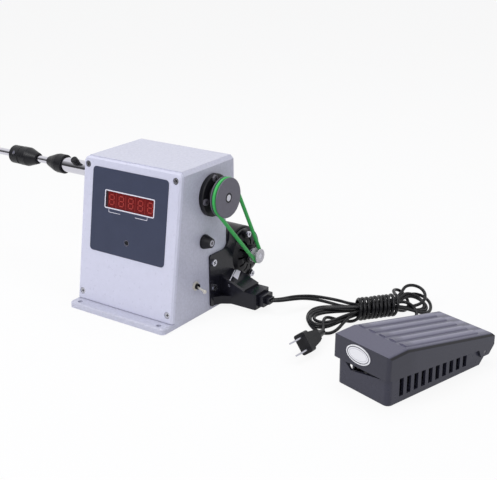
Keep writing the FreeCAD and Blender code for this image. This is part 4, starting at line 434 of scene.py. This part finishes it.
# After the roughness: the grain's scale, its relief in metres and the mottling of the tone.
MATERIALS = {
    "hammer_paint": hammer_paint(),
    "cover_paint": cover_paint(),
    "overlay_film": overlay_film(),
    "window_red": simple("window_red", (104, 16, 18), 0.22, 200, 0.00002, 0.04, specular=0.25),
    "black_plastic": simple("black_plastic", (22, 22, 27), 0.38, 900, 0.00008, specular=0.25),
    "gloss_black": simple("gloss_black", (25, 25, 34), 0.18, 300, 0.00004, specular=0.25),
    "chrome": simple("chrome", (206, 205, 214), 0.08, 500, 0.00001, 0.02, metallic=1.0),
    "steel": simple("steel", (186, 186, 196), 0.24, 900, 0.00002, 0.05, metallic=1.0),
    "alloy": simple("alloy", (132, 130, 144), 0.34, 900, 0.00004, 0.06, metallic=1.0),
    "nickel": simple("nickel", (208, 204, 194), 0.34, 900, 0.00003, 0.08, specular=0.9),
    "pulley_light": simple("pulley_light", (206, 204, 210), 0.4, 900, 0.00003, 0.08, specular=0.6),
    "pulley_grey": simple("pulley_grey", (100, 98, 110), 0.42, 900, 0.00004, 0.05, specular=0.4),
    "brass": simple("brass", (196, 160, 92), 0.26, 700, 0.00003, 0.05, metallic=1.0),
    "belt_green": simple("belt_green", (62, 176, 88), 0.40, 500, 0.00004, 0.05, specular=0.3),
    "board_green": simple("board_green", (34, 92, 52), 0.45, 500, 0.00005),
    "foot_rubber": simple("foot_rubber", (28, 28, 30), 0.7, 700, 0.0001),
    "cord_rubber": simple("cord_rubber", (18, 18, 22), 0.26, 700, 0.00006, 0.08, specular=0.22),
    "badge_grey": simple("badge_grey", (236, 236, 240), 0.35, 300, 0.00002, 0.02),
    "tread_grey_painted_light": tread_painted_light(),
    "pedal_grey": simple("pedal_grey", (56, 56, 70), 0.30, 700, 0.00005, 0.05, specular=0.3),
    "dark_steel": simple("dark_steel", (84, 82, 90), 0.36, 700, 0.00003, 0.08, specular=0.7),
    # White print, which also serves for painted highlights such as the knob cap's bright edge.
    "print_and_glint_white": simple("print_and_glint_white", (226, 224, 236), 0.5, 500, 0.00002, 0.02),
    "digit_red": simple("digit_red", (158, 40, 32), 0.35, 300, 0.00002, 0.06),
    "window_dark": simple("window_dark", (40, 10, 18), 0.3, 300, 0.00002, 0.06),
    # Painted shade: the dark inside the screws' recesses.
    "recess_shade_black": simple("recess_shade_black", (14, 14, 16), 0.6, 700, 0.00003, 0.05, specular=0.1),
    "badge_dark": simple("badge_dark", (62, 62, 76), 0.4, 300, 0.00002, 0.03),
    "badge_line": simple("badge_line", (176, 176, 190), 0.4, 300, 0.00002, 0.03),
}

NODE_FINISH = {
    "hammer_paint": ["housing", "left_bearing_flange"],
    "cover_paint": ["front_cover"],
    "overlay_film": ["display_overlay"],
    "window_red": ["display_window"],
    "gloss_black": ["motor_bracket", "terminal_box", "cord_connector"],
    "pedal_grey": ["pedal_base"],
    "dark_steel": ["flange_screws", "pedal_hinge_pin", "knob_cap"],
    "black_plastic": ["digit_module", "reset_button", "right_bearing_flange", "inner_cone",
                      "outer_cone", "outer_cone_bush", "lock_collar", "speed_knob",
                      "motor_casing", "motor_end_cap", "plug_relief", "mains_plug",
                      "potentiometer", "toggle_switch", "count_sensor", "pedal_rheostat",
                      "pedal_cord_gland", "chuck_thumb_screw"],
    "chrome": ["chuck_sleeve", "mandrel_rod"],
    "nickel": ["toggle_lever", "toggle_nut"],
    "steel": ["cover_screws", "spindle_bearings", "spindle_shaft", "collar_set_screw",
              "bracket_screws", "motor_cap_screws", "motor_bearings", "motor_armature",
              "motor_stator", "pedal_spring", "plug_blades", "counter_disc"],
    "pulley_grey": ["spindle_pulley"],
    "pulley_light": ["motor_pulley"],
    "brass": ["socket_pins"],
    "belt_green": ["drive_belt"],
    "board_green": ["counter_board"],
    "foot_rubber": ["pedal_feet"],
    "badge_grey": ["pedal_badge"],
    "tread_grey_painted_light": ["pedal_tread"],
    "cord_rubber": ["motor_lead", "pedal_lead", "plug_lead", "pedal_tail", "cord_hank"],
}


def dress(obj, finish):
    """Give an object one finish in place of what it has."""
    obj.data.materials.clear()
    obj.data.materials.append(MATERIALS[finish])
    return obj


def dress_nodes():
    """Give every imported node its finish."""
    for finish, names in NODE_FINISH.items():
        for name in names:
            dress(nodes[name], finish)


# ---------------------------------------------------------------- thin trim
# Axes that run along X, as their places across and up a side wall.
SHAFT = Vector((80.0, 126.3))
MOTOR = Vector((136.8, 44.7))
KNOB = Vector((64.6, 79.6))


class Face:
    """A flat face: its origin, and the directions along it, up it and out of it."""

    def __init__(self, origin, along=(0, 1, 0), up=(0, 0, 1)):
        self.origin = Vector(origin)
        self.along = Vector(along).normalized()
        self.up = Vector(up).normalized()
        self.out = self.along.cross(self.up)

    def at(self, across, high, out):
        """The place, in metres, across and up the face and out of it."""
        return (self.origin + self.along * across + self.up * high + self.out * out) * MM


def finished(name, bm, finish, body):
    """The trim piece of a mesh: it rides on a body and wears a finish."""
    bmesh.ops.recalc_face_normals(bm, faces=bm.faces)
    mesh = bpy.data.meshes.new(name)
    bm.to_mesh(mesh)
    bm.free()
    obj = add_object(name, mesh)
    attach(obj, body)
    return dress(obj, finish)


def plates(name, face, outlines, finish, low, high, body="frame"):
    """Thin plates of the given outlines, from one height above a face to another."""
    bm = bmesh.new()
    for outline in outlines:
        foot, top = ([bm.verts.new(face.at(x, y, out)) for x, y in outline] for out in (low, high))
        bm.faces.new(foot[::-1])
        bm.faces.new(top)
        for index in range(len(outline)):
            after = (index + 1) % len(outline)
            bm.faces.new((foot[index], foot[after], top[after], top[index]))
    return finished(name, bm, finish, body)


def frame_ring(name, face, outer, inner, finish, low, high, body="frame"):
    """A flat ring between two outlines with the same number of points, in height as plates."""
    bm = bmesh.new()
    loops = [[bm.verts.new(face.at(x, y, out)) for x, y in outline]
             for outline, out in ((outer, low), (outer, high), (inner, high), (inner, low))]
    for side in range(4):
        start, end = loops[side], loops[(side + 1) % 4]
        for index in range(len(outer)):
            after = (index + 1) % len(outer)
            bm.faces.new((start[index], start[after], end[after], end[index]))
    return finished(name, bm, finish, body)


def rounded(left, low, right, high, radius, steps=5):
    """A rectangle with rounded corners."""
    points = []
    corners = ((right - radius, high - radius, 0), (left + radius, high - radius, 90),
               (left + radius, low + radius, 180), (right - radius, low + radius, 270))
    for across, up, start in corners:
        for step in range(steps + 1):
            angle = math.radians(start + 90 * step / steps)
            points.append((across + radius * math.cos(angle), up + radius * math.sin(angle)))
    return points


def oval(half_width, half_height, across=0.0, up=0.0, steps=48):
    """An ellipse about a place."""
    return [(across + half_width * math.cos(2 * math.pi * step / steps),
             up + half_height * math.sin(2 * math.pi * step / steps)) for step in range(steps)]


def bar(start, end, width):
    """The outline of a straight bar between two points."""
    start, end = Vector(start), Vector(end)
    side = (end - start).normalized().orthogonal() * width / 2
    return [tuple(start + side), tuple(start - side), tuple(end - side), tuple(end + side)]


def cross(across, up, size, turn):
    """The two bars of a cross recess."""
    bars = []
    for extra in (0, 90):
        angle = math.radians(turn + extra)
        reach = Vector((math.cos(angle), math.sin(angle))) * size / 2
        middle = Vector((across, up))
        bars.append(bar(middle - reach, middle + reach, size * 0.2))
    return bars


COVER_TILT = math.radians(8.8)
COVER = Face((0, 7.3, 6.5), (1, 0, 0), (0, math.sin(COVER_TILT), math.cos(COVER_TILT)))
OVERLAY_TOP = 0.5
# The counter's window on the cover: left, low, right and high edges, and the corners' radius.
WINDOW, WINDOW_CORNER = (-31.4, 106.1, 33.4, 123.4), 0.7
# Its border with the outer corners' radius, and the dark margin at its left.
BORDER_WIDTH, BORDER_CORNER, MARGIN_WIDTH = 1.1, 1.7, 2.8
DIGIT_FIRST, DIGIT_PITCH, DIGIT_COUNT = -23.4, 12.9, 5
DIGIT_WIDTH, DIGIT_HEIGHT, SEGMENT = 7.2, 11.4, 1.15
# The lines between the digits: how far each stands after its digit, its width and end gap.
DIVIDER_AFTER, DIVIDER_WIDTH, DIVIDER_GAP = 0.46 * DIGIT_PITCH, 0.35, 0.3
# The printed bracket below it: its height, the rise of its ends, and the ends of both halves.
BRACKET_UP, BRACKET_RISE, BRACKET_LINE = 101.4, 3.2, 0.5
BRACKET_HALVES = ((-26.3, -10.6), (25.6, 9.6))
# The reset button, and the outer and inner radius of its rim.
BUTTON, BUTTON_RIM = (0.0, 72.83), (3.2, 2.75)


def segments(across, up):
    """The seven bars of one digit about its middle."""
    half, rise = (DIGIT_WIDTH - SEGMENT) / 2, (DIGIT_HEIGHT - SEGMENT) / 2
    gap = SEGMENT * 0.62
    bars = [bar((across - half + gap, up + level), (across + half - gap, up + level), SEGMENT)
            for level in (-rise, 0, rise)]
    for spot in (across - half, across + half):
        for low, high in ((-rise, 0), (0, rise)):
            bars.append(bar((spot, up + low + gap), (spot, up + high - gap), SEGMENT))
    return bars


def make_window_trim():
    """The window's border, its dark margin, the digits and the lines between them."""
    left, low, right, high = WINDOW
    outer = (left - BORDER_WIDTH, low - BORDER_WIDTH, right + BORDER_WIDTH, high + BORDER_WIDTH)
    frame_ring("window_frame", COVER, rounded(*outer, BORDER_CORNER),
               rounded(*WINDOW, WINDOW_CORNER), "print_and_glint_white", low=OVERLAY_TOP, high=0.8)
    digits = [DIGIT_FIRST + index * DIGIT_PITCH for index in range(DIGIT_COUNT)]
    bars = [piece for across in digits for piece in segments(across, (low + high) / 2)]
    plates("digit_bars", COVER, bars, "digit_red", low=0.0, high=0.06)
    dividers = [bar((across + DIVIDER_AFTER, low + DIVIDER_GAP),
                    (across + DIVIDER_AFTER, high - DIVIDER_GAP), DIVIDER_WIDTH)
                for across in digits[:-1]]
    plates("digit_dividers", COVER, dividers, "digit_red", low=0.0, high=0.05)
    plates("window_margin", COVER, [rounded(left, low, left + MARGIN_WIDTH, high, 0.3)],
           "window_dark", low=0.0, high=0.05)


def make_overlay_trim():
    """The printed bracket and the rim of the reset button."""
    lines = []
    for outer, inner in BRACKET_HALVES:
        corner = (outer, BRACKET_UP)
        lines.append(bar((outer, BRACKET_UP + BRACKET_RISE), corner, BRACKET_LINE))
        lines.append(bar(corner, (inner, BRACKET_UP), BRACKET_LINE))
    plates("bracket_lines", COVER, lines, "print_and_glint_white", low=0.55, high=0.66)
    outer, inner = (oval(radius, radius, *BUTTON) for radius in BUTTON_RIM)
    frame_ring("button_rim", COVER, outer, inner, "alloy", low=OVERLAY_TOP, high=0.75)


def about(middle, radius, degrees):
    """The place at a radius and an angle about a middle."""
    angle = math.radians(degrees)
    return middle + Vector((math.cos(angle), math.sin(angle))) * radius


# The screws: their places on the cover, round the shaft, on the motor's bracket and round the
# motor's axis, and the faces that the heads on the right side end in.
COVER_SCREWS = [(side * 58.5, up) for side in (-1, 1) for up in (9.0, 147.03)]
FLANGE_SCREWS = [about(SHAFT, 19, 97 + 90 * index) for index in range(4)]
BRACKET_SCREWS = [(76.6, 24.6), (76.6, 52.8)]
MOTOR_SCREWS = [about(MOTOR, 24, 97 + 180 * index) for index in range(2)]
FLANGE_HEADS, BRACKET_HEADS, MOTOR_HEADS = (Face((x, 0, 0)) for x in (72.4, 69.4, 73.8))


def recesses(name, face, spots, turns, size, low=-0.05, high=0.06):
    """Painted shade in the cross recesses of a row of screws, each with its own turn in degrees."""
    outlines = [outline for spot, turn in zip(spots, turns)
                for outline in cross(*spot, size, turn)]
    plates(name, face, outlines, "recess_shade_black", low, high)


def make_screw_recesses():
    """Painted shade in the recesses of the screws on the cover and on the right side."""
    recesses("cover_screw_recesses", COVER, COVER_SCREWS, (20, 57, 94, 131), 3.6,
             low=-0.62, high=-0.5)
    recesses("flange_screw_recesses", FLANGE_HEADS, FLANGE_SCREWS, (15, 46, 77, 108), 4.0)
    recesses("bracket_screw_recesses", BRACKET_HEADS, BRACKET_SCREWS, (25, 50), 4.4)
    recesses("motor_screw_recesses", MOTOR_HEADS, MOTOR_SCREWS, (10, 60), 3.8)


def make_badge_trim():
    """The two rings printed on the badge of the tread's sloping nose."""
    badge = Face(on_pedal(-2.3, -3.07, 39.2), PEDAL_ACROSS, PEDAL_ALONG * 0.6 + UP * 22.6)
    for name, outer, inner, finish, high in (
            ("badge_ring", (13.2, 7.35), (12.4, 6.6), "badge_dark", 0.86),
            ("badge_inner_ring", (10.7, 5.3), (10.4, 5.0), "badge_line", 0.84)):
        frame_ring(name, badge, oval(*outer), oval(*inner), finish, 0.7, high, "tread")


def make_shaft_rings():
    """Painted shade in the pulley's shaft recess and a painted glint on the knob cap's edge."""
    for name, node, spot, outer, inner, finish, body in (
            ("pulley_recess_shade", "spindle_pulley", SHAFT, 5.0, 3.5, "black_plastic", "spindle"),
            ("knob_cap_glint", "knob_cap", KNOB, 2.9, 2.2, "print_and_glint_white", "knob")):
        face = Face((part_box(node)[1][0] / MM, *spot))
        frame_ring(name, face, oval(outer, outer), oval(inner, inner), finish, -0.1, 0.08, body)


def make_box_patches():
    """The pale patch and the pale strip on the terminal box's slope, and the screw on its front."""
    slope = Face((75.4, 100.0, 32.36), (0.937, 0.0, -0.349), (0, 1, 0))
    label = [(-4.2, 12.5), (0.2, 14.0), (8.0, -1.6), (0.9, -1.4)]
    strip = bar((-4.9, 10.5), (4.0, -10.6), 0.9)
    plates("box_pale_patch", slope, [label], "print_and_glint_white", low=-0.15, high=0.12)
    plates("box_strip", slope, [strip], "print_and_glint_white", low=-0.15, high=0.14)
    front = Face((78.5, 88.8, 25.1), (1, 0, 0), (0, 0, 1))
    plates("box_screw", front, [oval(1.5, 1.5)], "steel", low=-0.2, high=0.5)
    # Painted shade in the screw's recess.
    plates("box_screw_recess", front, [oval(0.6, 0.6)], "recess_shade_black", low=0.4, high=0.55)


# ---------------------------------------------------------------- return spring
def make_return_spring(turns=5, steps=28, sides=10, wire=0.7 * MM):
    """The wire spring under the tread.

    Its wire is given by half its thickness.
    """
    low, high = (Vector(corner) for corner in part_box("pedal_spring"))
    middle = (low + high) / 2
    radius = min(high.x - low.x, high.y - low.y) / 2 - wire
    rise = high.z - low.z - 2 * wire
    bm = bmesh.new()
    sections = []
    for step in range(turns * steps + 1):
        angle = 2 * math.pi * step / steps
        outward = Vector((math.cos(angle), math.sin(angle), 0.0))
        centre = Vector((middle.x, middle.y, low.z + wire + rise * step / (turns * steps)))
        section = [outward * (radius + wire * math.cos(2 * math.pi * side / sides))
                   + UP * wire * math.sin(2 * math.pi * side / sides) for side in range(sides)]
        sections.append([bm.verts.new(centre + place) for place in section])
    for first, second in zip(sections, sections[1:]):
        for side in range(sides):
            after = (side + 1) % sides
            bm.faces.new((first[side], first[after], second[after], second[side]))
    bm.faces.new(sections[0][::-1])
    bm.faces.new(sections[-1])
    for face in bm.faces:
        face.smooth = True
    spring = finished("return_spring", bm, "steel", "frame")
    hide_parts("pedal_spring")
    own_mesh(spring)


# ---------------------------------------------------------------- floor and light
# Each lamp's place and the size of its disc in metres, and its power in watts.
LAMPS = {"key_light": ((-0.35, -1.1, 1.15), 0.9, 13.6),
         "top_light": ((0.1, 0.35, 1.5), 1.1, 8.6),
         "side_light": ((1.5, -0.3, 0.7), 0.8, 3.2)}
LAMP_AIM = Vector((0.1, 0.06, 0.06))
# The dark card, in metres: the middle of its foot, half its width, its direction and height.
FLAG_FOOT, FLAG_HALF = Vector((-0.80, -0.95, 0.0)), 0.80
FLAG_ALONG, FLAG_HEIGHT = Vector((0.80, -0.60, 0.0)), 1.60
FLOOR_REACH = 6.0


def make_lights():
    """Three round area lamps aimed at the machine."""
    for name, (spot, size, watts) in LAMPS.items():
        data = bpy.data.lights.new(name, "AREA")
        data.shape = "DISK"
        data.size = size
        data.energy = watts
        lamp = add_object(name, data)
        lamp.location = spot
        lamp.rotation_euler = (Vector(spot) - LAMP_AIM).to_track_quat("Z", "Y").to_euler()


def cleared(owner):
    """The node tree of a material or a world, with nothing in it yet."""
    owner.use_nodes = True
    owner.node_tree.nodes.clear()
    return owner.node_tree


def shader(tree, kind, **inputs):
    """A shader node with its inputs set."""
    node = tree.nodes.new(kind)
    for name, value in inputs.items():
        node.inputs[name].default_value = value
    return node.outputs[0]


def output(tree, kind, surface):
    """The tree's output node, fed by a shader."""
    tree.links.new(surface, tree.nodes.new(kind).inputs["Surface"])


def mixed(tree, share, first, second):
    """Two shaders mixed by a share."""
    mix = tree.nodes.new("ShaderNodeMixShader")
    for socket, value in zip(mix.inputs, (share, first, second)):
        tree.links.new(value, socket)
    return mix.outputs[0]


def background_share(tree):
    """1 for rays that look straight, by reflection or by transmission at the background."""
    path = tree.nodes.new("ShaderNodeLightPath")
    total = path.outputs["Is Camera Ray"]
    for kind in ("Is Glossy Ray", "Is Transmission Ray"):
        total = maths(tree, "MAXIMUM", total, path.outputs[kind])
    return total


def make_world():
    """Soft light, and white where it is seen or mirrored."""
    world = bpy.data.worlds.new("studio")
    scene.world = world
    tree = cleared(world)
    light = shader(tree, "ShaderNodeBackground", Color=(0.93, 0.94, 1.0, 1.0), Strength=0.36)
    white = shader(tree, "ShaderNodeBackground", Color=(1.0, 1.0, 1.0, 1.0), Strength=1.0)
    output(tree, "ShaderNodeOutputWorld", mixed(tree, background_share(tree), light, white))


def card(name, corners, lift, material):
    """A flat four-cornered piece of the stage, lifted off z = 0."""
    mesh = bpy.data.meshes.new(name)
    mesh.from_pydata(corners, [], [(0, 1, 2, 3)])
    mesh.materials.append(material)
    obj = add_object(name, mesh)
    obj.location.z = lift
    return obj


def make_flag():
    """A dark card low at the front left, which only reflections see: it shades the chrome."""
    material = bpy.data.materials.new("flag_dark")
    tree = cleared(material)
    split = tree.nodes.new("ShaderNodeSeparateXYZ")
    tree.links.new(tree.nodes.new("ShaderNodeTexCoord").outputs["Object"], split.inputs["Vector"])
    glow = tree.nodes.new("ShaderNodeEmission")
    level = remap(tree, split.outputs["Z"], 0.35, FLAG_HEIGHT, 0.07, 0.85)
    tree.links.new(level, glow.inputs["Strength"])
    output(tree, "ShaderNodeOutputMaterial", glow.outputs[0])
    left, right = (FLAG_FOOT + FLAG_ALONG * reach for reach in (-FLAG_HALF, FLAG_HALF))
    rise = UP * FLAG_HEIGHT
    flag = card("flag", [left, right, right + rise, left + rise], 0.005, material)
    flag.visible_camera = flag.visible_diffuse = flag.visible_shadow = False


def make_floor():
    """White to the eye and in reflections, and a matt white for the light that falls on it."""
    material = bpy.data.materials.new("floor_white")
    tree = cleared(material)
    matt = shader(tree, "ShaderNodeBsdfDiffuse", Color=(0.86, 0.86, 0.88, 1.0))
    glow = shader(tree, "ShaderNodeEmission", Strength=1.0)
    share = maths(tree, "MULTIPLY", background_share(tree), 0.9)
    output(tree, "ShaderNodeOutputMaterial", mixed(tree, share, matt, glow))
    near, far = -FLOOR_REACH, FLOOR_REACH
    floor = card("floor", [(near, near, 0), (far, near, 0), (far, far, 0), (near, far, 0)],
                 -0.0003, material)


make_camera()
mains_cord, pedal_cord = make_cords()
dress_nodes()
for cord in (mains_cord, pedal_cord):
    dress(cord, "cord_rubber")
make_window_trim()
make_overlay_trim()
make_screw_recesses()
make_badge_trim()
make_shaft_rings()
make_box_patches()
make_return_spring()
make_world()
make_flag()
make_floor()
make_lights()
scene.view_settings.view_transform = "Standard"
